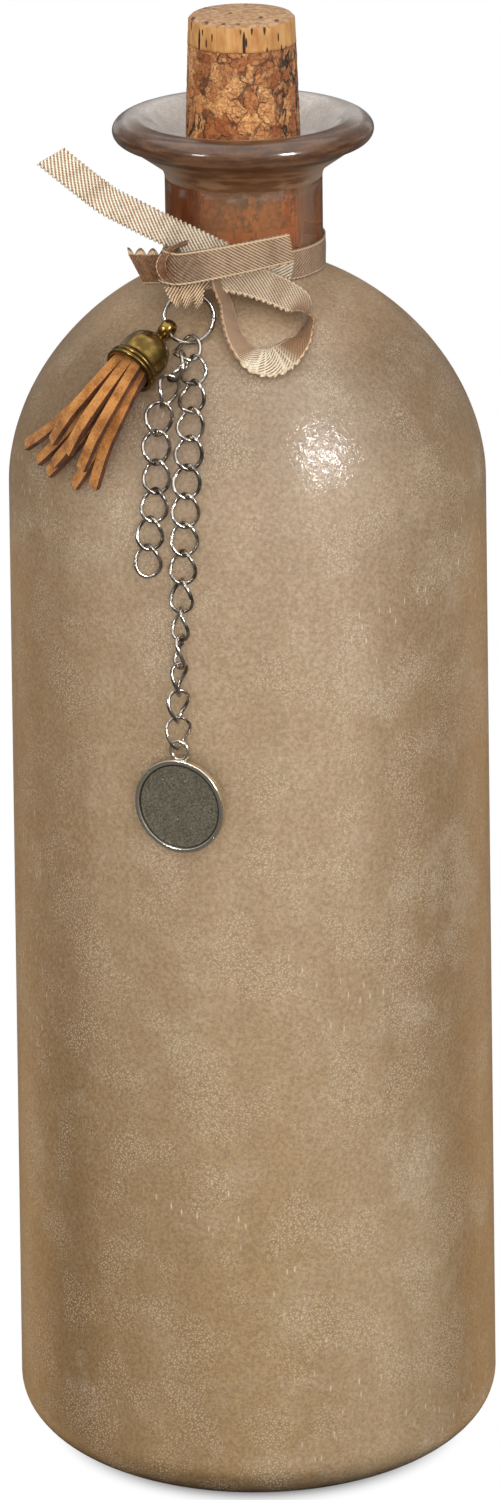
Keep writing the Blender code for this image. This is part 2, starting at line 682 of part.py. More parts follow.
def make_strips(material):
    eye, side, axis, front = tassel_frame()
    rim = cap_outline()[1]
    rim_foot = Vector((TASSEL_AROUND, NECK_FOOT_LEVEL - TASSEL_DROP))
    fall = Vector((sin(STRIP_HEADING), -cos(STRIP_HEADING)))
    aside = Vector((cos(STRIP_HEADING), sin(STRIP_HEADING)))
    for number, (column, row, spread, length, rest) in enumerate(STRIP_SHARES, start=1):
        start = side * (column * STRIP_SPACING) + front * (row * STRIP_ROW_SPACING)
        route = [eye + axis * (rim - STRIP_TUCK) + start, eye + axis * rim + start]
        faces = [front, front]
        start_lift = TASSEL_LIFT + row * STRIP_ROW_SPACING
        for step in range(1, STRIP_STEPS + 1):
            share = step / STRIP_STEPS
            drift = (column + (spread - column) * share) * STRIP_SPACING
            flat = rim_foot + fall * (STRIP_LENGTH * length * share) + aside * drift
            settling = sin(pi / 2 * min(1, length * share))
            lift = start_lift + (rest * STRIP_THICKNESS - start_lift) * settling
            place, normal = on_glass(across_from(flat.x, flat.y), flat.y, lift)
            route.append(place)
            faces.append(normal)
        route = smooth_route(route, 2)
        faces = smooth_route(faces, 2)
        sides = []
        for index, face in enumerate(faces):
            along = route[min(index + 1, len(route) - 1)] - route[max(index - 1, 0)]
            sides.append(along.cross(face))
        add_object(f"suede_strip_{number}", strap(route, sides, STRIP_WIDTH, STRIP_THICKNESS), material)


# Charm

def charm_places():
    """Middle of the charm's eye, its hinge point, its middle, and its directions."""
    middles, frames, hinges, level = long_strand()
    overlap = LINK_WIRE + CHARM_EYE_WIRE + LINK_GAP
    distance = LINK_HALF_HEIGHT + CHARM_EYE_RADIUS - overlap
    across = RING_ACROSS + LONG_STRAND_SHARES[-1][0] * LINK_HALF_WIDTH
    (eye, normal), level = place_below(middles[-1], across, level, CHARM_LIFT, distance)
    upright = Vector((0, 0, 1))
    frame = turned_frame(frame_from(upright - normal * normal.z, normal), CHARM_TURN)
    hinge = eye + (middles[-1] - eye).normalized() * (CHARM_EYE_RADIUS - overlap / 2)
    middle = eye - frame[1] * (CHARM_RADIUS + CHARM_EYE_RADIUS)
    return eye, hinge, middle, frame


def make_charm(material):
    eye, hinge, middle, (across, up, front) = charm_places()
    half = CHARM_THICKNESS / 2
    floor_level = half - CHARM_RECESS
    rim_start = CHARM_RADIUS - CHARM_RIM
    outline = [(0, -half), (CHARM_RADIUS - CHARM_EDGE, -half), (CHARM_RADIUS, -half + CHARM_EDGE),
               (CHARM_RADIUS, half - CHARM_EDGE), (CHARM_RADIUS - CHARM_EDGE, half), (rim_start, half),
               (rim_start - CHARM_RECESS, floor_level), (0, floor_level)]
    disc = turned(outline, CHARM_SEGMENTS, place_along(middle, across, front, up))
    charm = add_object("charm", disc, material, hinge)
    turns = [2 * pi * step / EYE_SEGMENTS for step in range(EYE_SEGMENTS)]
    path = [eye + (across * cos(turn) + up * sin(turn)) * CHARM_EYE_RADIUS for turn in turns]
    join_to(charm, add_object("eye_of_charm", wire_ring(path, CHARM_EYE_WIRE, LINK_SIDES), material, hinge))


def main():
    clear_scene()
    materials = make_materials()
    make_bottle(materials)
    make_cork(materials)
    make_ribbon(materials)
    make_jump_ring(materials["silver"])
    make_chain(materials["silver"])
    make_cap(materials["bronze"])
    make_strips(materials["suede"])
    make_charm(materials["pewter"])


main()
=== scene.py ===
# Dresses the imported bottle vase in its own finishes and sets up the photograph's view.
# Metres, +Z up, the bottle's front faces -Y, and every piece lies where the CAD has it.

import json
from math import acos, asin, cos, pi, radians, sin, sqrt

import bmesh
import bpy
from mathutils import Matrix, Vector, noise

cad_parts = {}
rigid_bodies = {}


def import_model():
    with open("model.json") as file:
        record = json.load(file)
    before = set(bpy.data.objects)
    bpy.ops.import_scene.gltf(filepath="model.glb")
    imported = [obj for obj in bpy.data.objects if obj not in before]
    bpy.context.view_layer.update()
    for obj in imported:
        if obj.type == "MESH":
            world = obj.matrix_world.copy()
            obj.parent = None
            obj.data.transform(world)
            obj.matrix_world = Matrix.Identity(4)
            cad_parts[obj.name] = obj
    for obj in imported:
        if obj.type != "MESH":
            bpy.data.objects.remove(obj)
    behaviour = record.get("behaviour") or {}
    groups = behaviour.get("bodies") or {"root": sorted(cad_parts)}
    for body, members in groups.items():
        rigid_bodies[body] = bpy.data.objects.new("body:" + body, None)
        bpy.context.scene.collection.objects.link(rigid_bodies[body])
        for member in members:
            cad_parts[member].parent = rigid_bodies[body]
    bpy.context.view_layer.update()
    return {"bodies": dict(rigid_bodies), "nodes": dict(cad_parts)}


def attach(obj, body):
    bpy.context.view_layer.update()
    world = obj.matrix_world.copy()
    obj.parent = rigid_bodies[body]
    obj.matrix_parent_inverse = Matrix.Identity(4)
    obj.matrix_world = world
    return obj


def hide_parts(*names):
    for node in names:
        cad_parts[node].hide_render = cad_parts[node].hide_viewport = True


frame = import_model()

# The bottle's outline, as in the CAD
SHOULDER_RADIUS = 0.0500
FOOT_RADIUS = 0.0521
HEEL_RUN = 0.0180
HEEL_RISE = 0.0125
SHOULDER_LEVEL = 0.2162
SHOULDER_RISE = 0.0481
SHOULDER_EXPONENT = 1.85
SHOULDER_WALL = 0.0040
NECK_RADIUS = 0.0163
NECK_FOOT_LEVEL = 0.26093
NECK_TOP_LEVEL = 0.28093
NECK_FILLET = 0.0012
FLARE_RADIUS = 0.0036
FLARE_TURN = radians(58)
LIP_RADIUS = 0.0270
LIP_LEVEL = 0.29093
LIP_UNDER_RUN = 0.0026
LIP_UNDER_DROP = 0.0024
CREST_RADIUS = 0.0224
CREST_LEVEL = 0.29383
MOUTH_RADIUS = 0.0117
MOUTH_LEVEL = 0.28833
MOUTH_ROUND = 0.0008
BORE_END_RADIUS = 0.0113
SIDE_WALL = 0.0030
BASE_WALL = 0.0060
INNER_HEEL = 0.0090
CLEAR_GLASS_LEVEL = 0.2655
LIP_GLASS_LEVEL = 0.2812
BOTTLE_SEGMENTS = 128

# Cork
CORK_TOP_RADIUS = 0.0109
CORK_MOUTH_RADIUS = 0.0114
CORK_END_RADIUS = 0.0110
CORK_TOP_LEVEL = 0.31473
CORK_END_LEVEL = 0.26613
CORK_DISC = 0.0056
CORK_EDGE = 0.0006
CORK_SWELL = 0.00055
GLUE_LINE = 0.0001
CORK_SEGMENTS = 96
CORK_STAIN = (0.0010, -0.0112, 0.2782)

# Ribbon; its sheets are shown at a share of its thickness
RIBBON_WIDTH = 0.0064
RIBBON_THICKNESS = 0.0005
SHEET_SHARE = 0.7
BAND_RADIUS = 0.01685
BAND_LEVEL = 0.26533
KNOT_MIDDLE = Vector((-0.009034, -0.017731, 0.265330))
KNOT_SIZE = Vector((0.0072, 0.0050, 0.0066))
KNOT_TURN = radians(-27)
KNOT_ROUND = 0.0014
KNOT_FOLDS = 0.00035

# The small loops along a ribbon's edge: their pitch, and the share of their height inside the edge
PICOT_PITCH = 0.00085
PICOT_REST = 0.35

# Jump ring and chain wires, and the share of a wire by which its mesh is let out before it is rounded.
# The last link is not let out, to leave room for the charm's swing.
RING_WIRE = 0.00043
LINK_WIRE = 0.00037
RING_SWELL = 0.25
LINK_SWELL = 0.30

# Tassel: the eye's middle, and the cap's side, axis and front directions
TASSEL_EYE = Vector((-0.016003, -0.027978, 0.255873))
CAP_SIDE = Vector((0.782525, -0.613532, -0.105986))
CAP_AXIS = Vector((-0.585968, -0.668169, -0.458467))
CAP_FRONT = Vector((-0.210468, -0.420866, 0.882369))
EYE_ACROSS = Vector((0.436728, -0.736975, 0.515884))
EYE_RADIUS = 0.00135
EYE_WIRE = 0.00058
EYE_TURN = 0.5
EYE_SWELL = 0.00018
EYE_DEPTH = 1.8
CAP_NECK_RADIUS = 0.0014
CAP_NECK_LENGTH = 0.0011
DOME_RADIUS = 0.0051
SKIRT_LENGTH = 0.0034
BEAD_RADIUS = 0.00050
CAP_WALL = 0.00035

# Strips: a face less wide than the reach is a cut side. The small waves are eased out in some rounds,
# and the strip takes a share of that.
SIDE_REACH = 0.0017
STRIP_SWELL = 0.0001
STRIP_EDGE = 0.00012
LACE_ROUNDS = 12
LACE_SHARE = 0.85
SHARP_FOLD = radians(60)

# Charm: its middle and eye, and its side, up and front directions
CHARM_MIDDLE = Vector((-0.014656, -0.051206, 0.161684))
CHARM_EYE = Vector((-0.014623, -0.051092, 0.173234))
CHARM_ACROSS = Vector((0.866277, -0.499558, 0.002494))
CHARM_UP = Vector((0.002837, 0.009911, 0.999947))
CHARM_FRONT = Vector((-0.499556, -0.866224, 0.010003))
CHARM_RADIUS = 0.0100
CHARM_DROP = 0.0004
CHARM_LEAN = radians(5)
CHARM_THICKNESS = 0.0016
CHARM_RIM = 0.0008
CHARM_RECESS = 0.0004
CHARM_EDGE = 0.0003
CHARM_EYE_RADIUS = 0.00198
CHARM_EYE_WIRE = 0.00043
CHARM_DENTS = 0.00007

# Lengths along the hanging loop between which a painted sheen on its bottom comes up bright and fades again
LOOP_PAINTED_SHEEN = (0.0215, 0.0235, 0.0305, 0.0330)

# The photograph's view: the lens in mm, the camera's place, its pitch in degrees and its roll
VIEW_LENS = 155.45
VIEW_PLACE = (-0.0002, -1.300, 0.613)
VIEW_PITCH = 19.4
VIEW_ROLL = -0.0129

# The floor turns from shaded to plain white between these reaches from the bottle's axis
FLOOR_SHADED = 0.0370
FLOOR_WHITE = 0.0470

# Routes of the ribbon: places along it, each with the direction of the ribbon's width there
TAIL_PLACES = (
    ((-0.00421, -0.01870, 0.26882), (0.45, 0.25, 0.86)),
    ((-0.00766, -0.01850, 0.27029), (0.45, 0.25, 0.86)),
    ((-0.01273, -0.01850, 0.27278), (0.45, 0.25, 0.86)),
    ((-0.01798, -0.01940, 0.27561), (0.45, 0.25, 0.86)),
    ((-0.02281, -0.02000, 0.27835), (0.46, 0.29, 0.84)),
    ((-0.02724, -0.02040, 0.28092), (0.55, 0.37, 0.75)),
    ((-0.03004, -0.02060, 0.28310), (0.60, 0.22, 0.77)),
    ((-0.03462, -0.02090, 0.28690), (0.62, 0.16, 0.77)),
    ((-0.03990, -0.02120, 0.29150), (0.62, 0.12, 0.78)),
)
SHORT_TAIL_PLACES = (
    ((-0.01242, -0.01920, 0.26653), (-0.05, -0.28, -0.96)),
    ((-0.01609, -0.01980, 0.26664), (-0.03, -0.28, -0.96)),
    ((-0.01975, -0.02070, 0.26690), (-0.02, -0.23, -0.96)),
    ((-0.02400, -0.02160, 0.26720), (0.02, -0.20, -0.97)),
)
BOW_PLACES = (
    ((-0.01320, -0.02000, 0.26802), (0.10, 0.23, 0.97)),
    ((-0.01543, -0.02180, 0.26833), (0.12, 0.23, 0.96)),
    ((-0.01682, -0.02500, 0.26879), (0.15, 0.18, 0.97)),
    ((-0.01498, -0.02740, 0.26868), (0.12, 0.23, 0.96)),
    ((-0.01193, -0.02800, 0.26880), (0.02, 0.20, 0.96)),
    ((-0.00135, -0.02760, 0.27054), (-0.10, 0.10, 0.98)),
    ((0.00954, -0.02560, 0.27227), (-0.14, 0.00, 0.98)),
)
CURL_PLACES = [(place, (0.62, -0.70, 0.35)) for place in (
    (-0.01170, -0.02150, 0.27261),
    (-0.01393, -0.02340, 0.27231),
    (-0.01596, -0.02600, 0.27136),
    (-0.01689, -0.02760, 0.26949),
    (-0.01621, -0.02820, 0.26734),
    (-0.01441, -0.02820, 0.26564),
    (-0.01301, -0.02780, 0.26467),
)]
LOOP_PLACES = (
    ((-0.00700, -0.02130, 0.26780), (0.45, 0.87, -0.20)),
    ((-0.00570, -0.02390, 0.26450), (0.45, 0.87, -0.20)),
    ((-0.00395, -0.02450, 0.26000), (0.45, 0.87, -0.18)),
    ((-0.00276, -0.02874, 0.25595), (0.42, 0.90, -0.10)),
    ((-0.00058, -0.03274, 0.25284), (0.25, 0.93, 0.26)),
    ((0.00183, -0.03402, 0.25106), (0.08, 0.80, 0.60)),
    ((0.00487, -0.03406, 0.25040), (0.00, 0.71, 0.70)),
    ((0.00773, -0.03298, 0.25132), (-0.05, 0.76, 0.65)),
    ((0.01021, -0.03096, 0.25303), (-0.10, 0.90, 0.42)),
    ((0.01209, -0.02859, 0.25494), (-0.10, 0.98, 0.16)),
    ((0.01296, -0.02634, 0.25729), (-0.12, 0.97, 0.19)),
    ((0.01179, -0.02500, 0.26003), (0.10, 0.85, 0.51)),
    ((0.00876, -0.02420, 0.26181), (0.20, 0.60, 0.76)),
    ((0.00448, -0.02380, 0.26375), (0.25, 0.45, 0.86)),
    ((-0.00019, -0.02300, 0.26508), (0.20, 0.40, 0.89)),
    ((-0.00466, -0.02240, 0.26582), (0.15, 0.40, 0.90)),
)
CREAM_FOLD_PLACES = (
    ((-0.00096, -0.02200, 0.26840), (0.25, 0.27, 0.93)),
    ((0.00229, -0.02080, 0.26719), (0.25, 0.27, 0.93)),
    ((0.00555, -0.01960, 0.26598), (0.22, 0.28, 0.94)),
    ((0.00944, -0.01760, 0.26454), (0.20, 0.28, 0.94)),
)
TIE_PLACES = [(place, (0.99, -0.03, -0.10)) for place in (
    (-0.01203, -0.02200, 0.26433),
    (-0.01203, -0.02350, 0.26369),
    (-0.01184, -0.02550, 0.26213),
    (-0.01150, -0.02710, 0.26068),
    (-0.01162, -0.02830, 0.26190),
    (-0.01200, -0.02840, 0.26403),
    (-0.01239, -0.02760, 0.26560),
)]


# Node helpers. Those that take no tree add their nodes to the tree of the sockets they are given.

def link_or_set(tree, socket, value):
    if isinstance(value, bpy.types.NodeSocket):
        tree.links.new(value, socket)
    else:
        socket.default_value = value


def node(tree, kind, inputs=None, **settings):
    """Add a node; an input value that is a socket is linked, and any other is set on it."""
    item = tree.nodes.new(kind)
    for name, value in settings.items():
        setattr(item, name, value)
    for name, value in (inputs or {}).items():
        link_or_set(tree, item.inputs[name], value)
    return item


def fed(kind, inputs, **settings):
    """Add a node to the tree that the first socket among its inputs belongs to."""
    tree = next(value.id_data for value in inputs.values() if isinstance(value, bpy.types.NodeSocket))
    return node(tree, kind, inputs, **settings)


def maths(operation, first, second=0.0):
    return fed("ShaderNodeMath", {0: first, 1: second}, operation=operation).outputs[0]


def times(first, second):
    return maths("MULTIPLY", first, second)


def away_from(value, middle):
    return maths("ABSOLUTE", maths("SUBTRACT", value, middle))


def spread(value, low, high, to_low=0.0, to_high=1.0):
    """Map a value from one range to another, with a soft start and end."""
    values = {"Value": value, "From Min": low, "From Max": high, "To Min": to_low, "To Max": to_high}
    return fed("ShaderNodeMapRange", values, interpolation_type="SMOOTHSTEP").outputs["Result"]


def between(value, start, full, fading, end):
    """1 between two levels and 0 beyond the outer two."""
    return times(spread(value, start, full), spread(value, fading, end, 1.0, 0.0))


def colour(red, green, blue):
    """A linear colour from the values that a picture editor shows, 0 to 255."""
    values = []
    for value in (red, green, blue):
        share = value / 255
        values.append(share / 12.92 if share <= 0.04045 else ((share + 0.055) / 1.055) ** 2.4)
    return (*values, 1.0)


def mixed(share, first, second, blend="MIX"):
    values = {0: share, 6: first, 7: second}
    return fed("ShaderNodeMix", values, data_type="RGBA", blend_type=blend).outputs[2]


def tinted(body, tint, share=1.0):
    """The body colour times a tint, for a share of the way."""
    return mixed(share, body, tint, "MULTIPLY")


def grain(places, scale, detail=2.0, roughness=0.5, distortion=0.0):
    values = {"Vector": places, "Scale": scale, "Detail": detail, "Roughness": roughness,
              "Distortion": distortion}
    return fed("ShaderNodeTexNoise", values).outputs["Fac"]


def cells(places, scale, feature="F1"):
    values = {"Vector": places, "Scale": scale}
    return fed("ShaderNodeTexVoronoi", values, feature=feature).outputs["Distance"]


def dots(places, scale, near, far):
    """Small spots at the middles of flat cells, 1 within the near distance and 0 beyond the far one."""
    values = {"Vector": places, "Scale": scale}
    distance = fed("ShaderNodeTexVoronoi", values, voronoi_dimensions="2D").outputs["Distance"]
    return spread(distance, near, far, 1.0, 0.0)


def wrapped(places, radius, scale=(1, 1, 1)):
    """Flat places for the outside of a round piece: the way round it from the front, and the level."""
    x, y, z = split(places)
    around = times(maths("ARCTAN2", x, times(y, -1.0)), radius)
    flat = fed("ShaderNodeCombineXYZ", {0: around, 1: z}).outputs[0]
    return stretched(flat, scale)


def stretched(places, scale, turn=(0, 0, 0)):
    return fed("ShaderNodeMapping", {"Vector": places, "Scale": scale, "Rotation": turn}).outputs[0]


def raised(height, distance, strength=1.0):
    return fed("ShaderNodeBump", {"Height": height, "Distance": distance, "Strength": strength}).outputs[0]


def distance_from(places, middle=(0, 0, 0)):
    return fed("ShaderNodeVectorMath", {0: places, 1: tuple(middle)}, operation="DISTANCE").outputs["Value"]


def object_places(tree):
    return node(tree, "ShaderNodeTexCoord").outputs["Object"]


def turned_away(tree):
    """0 where the surface faces the camera and 1 where it is edge on."""
    return node(tree, "ShaderNodeLayerWeight", {"Blend": 0.5}).outputs["Facing"]


def split(places):
    return fed("ShaderNodeSeparateXYZ", {0: places}).outputs


def new_material(name, **values):
    """A material with its shader's plain values set, named with underscores for spaces."""
    material = bpy.data.materials.new(name)
    material.use_nodes = True
    tree = material.node_tree
    finish(tree, **values)
    return material, tree


def finish(tree, **values):
    shader = tree.nodes["Principled BSDF"]
    for name, value in values.items():
        link_or_set(tree, shader.inputs[name.replace("_", " ")], value)


def shared_effect(name, inputs, effect):
    """A node group that gives the named values which the effect makes from the named inputs."""
    group = bpy.data.node_groups.new(name, "ShaderNodeTree")
    for label, kind in inputs.items():
        group.interface.new_socket(label, in_out="INPUT", socket_type="NodeSocket" + kind)
    given = group.nodes.new("NodeGroupInput").outputs
    made = effect(*(given[label] for label in inputs))
    for label in made:
        group.interface.new_socket(label, in_out="OUTPUT", socket_type="NodeSocketFloat")
    out = group.nodes.new("NodeGroupOutput").inputs
    for label, value in made.items():
        group.links.new(value, out[label])
    return group


def use(tree, group, **inputs):
    item = tree.nodes.new("ShaderNodeGroup")
    item.node_tree = group
    for name, value in inputs.items():
        link_or_set(tree, item.inputs[name], value)
    return item.outputs


# Shared effects

def frost_effect(places):
    """Pale specks and short scratches of sand-blasted glass, and its fine grain as a height."""
    flat = wrapped(places, SHOULDER_RADIUS)
    specks = times(dots(flat, 1500, 0.12, 0.30), spread(grain(places, 90, 3.0), 0.42, 0.62))
    marks = dots(wrapped(places, SHOULDER_RADIUS, (1, 0.22, 1)), 420, 0.04, 0.09)
    scratches = times(marks, spread(grain(places, 28, 2.0), 0.56, 0.68))
    mottle = spread(grain(places, 1250, 3.0, 0.7), 0.30, 0.70)
    return {"specks": specks, "scratches": scratches, "height": grain(places, 2600, 2.0, 0.6), "mottle": mottle}


def twill_effect(lengths, pitch):
    """Crossing diagonal ribs of a satin ribbon; the pattern runs on the ribbon's own lengths in metres."""
    along, across, _ = split(lengths)
    turn = maths("DIVIDE", 2 * pi, pitch)
    waves = []
    for sign in (1.0, -1.0):
        way = maths("ADD", along, times(across, sign * 1.25))
        waves.append(maths("SINE", times(way, turn)))
    both = maths("ADD", waves[0], times(waves[1], 0.35))
    threads = grain(stretched(lengths, (0.25, 1.0, 1.0)), 5200, 2.0)
    height = maths("ADD", both, times(threads, 0.35))
    return {"ribs": spread(both, -0.70, 0.55), "height": height, "selvedge": maths("ABSOLUTE", across)}


def tarnish_effect(places, scale):
    """Where old metal is dark, with its small dents as a height."""
    broad = grain(places, scale, 4.0, 0.6, 0.4)
    pits = cells(places, times(scale, 3.0))
    return {"dark": spread(broad, 0.42, 0.64), "height": maths("ADD", broad, times(pits, 0.4))}


FROST = shared_effect("frost", {"places": "Vector"}, frost_effect)
TWILL = shared_effect("twill", {"lengths": "Vector", "pitch": "Float"}, twill_effect)
TARNISH = shared_effect("tarnish", {"places": "Vector", "scale": "Float"}, tarnish_effect)


# Finishes. Ranges of x, y, z and lengths are metres on the piece; other ranges are shares of a pattern.

def frosted_glass():
    material, tree = new_material("frosted_glass", IOR=1.32, Coat_Roughness=0.11,
                                  Subsurface_Weight=0.10, Subsurface_Scale=0.003)
    places = object_places(tree)
    x, _, z = split(places)
    frost = use(tree, FROST, places=places)
    body = mixed(spread(z, 0.03, 0.17), colour(175, 147, 108), colour(188, 162, 130))
    body = mixed(times(spread(z, 0.17, 0.25), 0.7), body, colour(191, 169, 145))
    facing = turned_away(tree)
    # Painted shade: darker where the surface turns away from the camera, for the shaded sides and partly for
    # the glass looking darker edge on.
    body = tinted(body, (0.74, 0.68, 0.58, 1), spread(facing, 0.06, 0.42))
    # Painted shade on a band of the shoulder, and painted light above it, just under the ribbon where the
    # ribbon shades the glass.
    body = tinted(body, (0.84, 0.82, 0.81, 1), between(z, 0.222, 0.236, 0.246, 0.256))
    body = tinted(body, (1.22, 1.20, 1.18, 1), spread(z, 0.246, 0.258))
    # Painted light: the outline is lightened again, more so lower down.
    edge = times(spread(facing, 0.40, 0.85), spread(z, 0.200, 0.222, 1.0, 0.25))
    painted_edge_light = mixed(spread(z, 0.05, 0.14), (1.85, 1.80, 1.76, 1), (1.50, 1.42, 1.32, 1))
    body = tinted(body, painted_edge_light, edge)
    # Painted light: a paler band on the lower right of the bottle.
    painted_light_band = times(between(x, 0.008, 0.024, 0.034, 0.046), spread(z, 0.05, 0.12, 0.45, 0.0))
    body = mixed(painted_light_band, body, colour(210, 186, 152))
    bands = grain(stretched(places, (1, 1, 0.10)), 42, 3.0, 0.6)
    body = mixed(spread(bands, 0.30, 0.70), tinted(body, (0.86, 0.84, 0.81, 1)), body)
    haze = grain(places, 60, 6.0, 0.68)
    rough_side = spread(x, 0.010, 0.045, 0.20, 0.32)
    body = mixed(times(spread(haze, 0.48, 0.68), rough_side), body, colour(206, 188, 162))
    rim = spread(z, 0.0030, 0.0112, 1.0, 0.0)
    body = mixed(times(rim, 0.90), body, colour(48, 36, 20))
    grit = tinted(body, (0.76, 0.74, 0.71, 1))
    body = mixed(frost["mottle"], grit, tinted(body, (1.10, 1.10, 1.10, 1)))
    fine = spread(frost["height"], 0.25, 0.75)
    body = mixed(fine, tinted(body, (0.86, 0.85, 0.84, 1)), body)
    body = mixed(times(frost["specks"], 0.42), body, colour(232, 220, 198))
    body = mixed(times(frost["scratches"], 0.5), body, colour(232, 222, 204))
    flecks = grain(places, 620, 3.0, 0.75)
    coat = times(spread(x, 0.000, 0.012, 0.12, 0.85), spread(flecks, 0.46, 0.60, 0.22, 1.0))
    coat = times(coat, spread(facing, 0.30, 0.60, 1.0, 0.15))
    skin = raised(maths("ADD", times(flecks, 0.40), grain(places, 40, 2.0)), 0.0007, 0.6)
    finish(tree, Base_Color=body, Normal=raised(frost["height"], 0.00004, 0.6), Coat_Normal=skin,
           Coat_Weight=coat, Roughness=spread(haze, 0.3, 0.7, 0.46, 0.56))
    return material


def neck_glass():
    material, tree = new_material("brown_neck_glass", Roughness=0.02, IOR=1.08, Transmission_Weight=0.80,
                                  Coat_Weight=0.6, Coat_Roughness=0.08, Coat_IOR=1.5)
    places = object_places(tree)
    x, _, z = split(places)
    seam = grain(stretched(places, (1, 1, 3.0)), 260, 3.0)
    near = spread(away_from(z, 0.2800), 0.0002, 0.0014, 1.0, 0.0)
    mark = times(near, spread(seam, 0.48, 0.58))
    height = maths("ADD", times(near, seam), times(grain(places, 160, 2.0), 0.25))
    facing = turned_away(tree)
    streaks = grain(stretched(places, (1, 1, 0.25)), 330, 3.0, 0.6)
    at_side = mixed(spread(streaks, 0.40, 0.60), colour(168, 92, 46), colour(222, 144, 88))
    # Painted reflection: a pale streak on the right side of the neck.
    pale = times(between(x, 0.008, 0.0125, 0.0135, 0.0155), 0.6)
    at_side = mixed(pale, at_side, colour(236, 204, 176))
    tint = mixed(spread(facing, 0.12, 0.36), colour(204, 166, 128), at_side)
    tint = mixed(times(mark, 0.7), tint, colour(228, 216, 204))
    shade = node(tree, "ShaderNodeLightPath").outputs["Is Shadow Ray"]
    finish(tree, Base_Color=tint, Normal=raised(height, 0.0006, 0.5),
           Alpha=spread(shade, 0.0, 1.0, 1.0, 0.25))
    return material


def lip_glass():
    material, tree = new_material("frosted_lip_glass", Roughness=0.32, IOR=1.40, Transmission_Weight=0.08,
                                  Coat_Roughness=0.09, Specular_IOR_Level=0.3)
    places = object_places(tree)
    x, y, z = split(places)
    clouds = grain(places, 120, 3.0, 0.6)
    streaks = grain(stretched(places, (1, 1, 5.0)), 160, 3.0, 0.6)
    reach = distance_from(fed("ShaderNodeCombineXYZ", {0: x, 1: y}).outputs[0])
    roll = maths("MAXIMUM", spread(z, 0.2868, 0.2880, 1.0, 0.0), spread(reach, 0.0240, 0.0254))
    # The roll is dark brown glass and the dish is pale. The dark front of the crest and the fade from front to
    # back are painted shade of the dish.
    crest = times(spread(reach, 0.0212, 0.0226), spread(y, -0.012, 0.002, 1.0, 0.0))
    front = times(maths("MAXIMUM", roll, crest), spread(y, -0.016, 0.012, 1.0, 0.5))
    pale = mixed(spread(clouds, 0.3, 0.7), colour(208, 199, 190), colour(230, 222, 214))
    dark = mixed(spread(streaks, 0.35, 0.65), colour(84, 54, 34), colour(116, 80, 54))
    body = mixed(front, pale, dark)
    speckled = spread(grain(places, 1400, 2.0), 0.3, 0.7)
    body = mixed(speckled, tinted(body, (0.84, 0.83, 0.82, 1)), body)
    flare = spread(z, 0.2866, 0.2878, 1.0, 0.0)
    lit = mixed(spread(streaks, 0.45, 0.60), colour(108, 72, 45), colour(146, 108, 78))
    # Painted reflections: paler arcs at both ends of the flare under the lip.
    painted_end_reflections = spread(maths("ABSOLUTE", x), 0.0105, 0.0165)
    lit = mixed(times(painted_end_reflections, 0.75), lit, colour(196, 172, 148))
    body = mixed(times(flare, 0.85), body, lit)
    finish(tree, Base_Color=body, Normal=raised(clouds, 0.0006, 0.35),
           Coat_Weight=spread(z, 0.2874, 0.2890, 0.06, 0.75))
    return material


def whole_cork():
    material, tree = new_material("whole_cork", Roughness=0.85)
    places = object_places(tree)
    z = split(places)[2]
    soft = grain(stretched(places, (1, 1, 0.35)), 420, 4.0, 0.6)
    body = mixed(spread(soft, 0.3, 0.7), colour(186, 126, 66), colour(216, 164, 100))
    marks = dots(wrapped(places, CORK_TOP_RADIUS, (1, 0.12, 1)), 330, 0.085, 0.120)
    veins = dots(wrapped(places, CORK_TOP_RADIUS, (1, 0.20, 1)), 700, 0.10, 0.16)
    some = spread(grain(places, 180, 2.0), 0.47, 0.53)
    streaks = maths("MAXIMUM", marks, times(veins, some))
    body = mixed(streaks, body, colour(58, 26, 10))
    fibres = grain(stretched(places, (1, 1, 0.08)), 1500, 2.0)
    body = mixed(spread(fibres, 0.40, 0.62), tinted(body, (0.88, 0.84, 0.78, 1)), body)
    top = spread(z, CORK_TOP_LEVEL - 0.0007, CORK_TOP_LEVEL - 0.0002)
    pits = dots(stretched(places, (1.0, 0.4, 1), (0, 0, 0.9)), 260, 0.08, 0.15)
    pits = times(pits, spread(grain(places, 150, 2.0), 0.46, 0.52))
    mottle = spread(grain(places, 800, 4.0, 0.7), 0.35, 0.65)
    face = mixed(mottle, colour(166, 122, 84), colour(208, 168, 126))
    face = mixed(times(pits, 0.85), face, colour(78, 42, 20))
    body = mixed(top, body, face)
    height = maths("SUBTRACT", soft, maths("ADD", streaks, times(top, pits)))
    finish(tree, Base_Color=body, Normal=raised(height, 0.0003, 0.7))
    return material


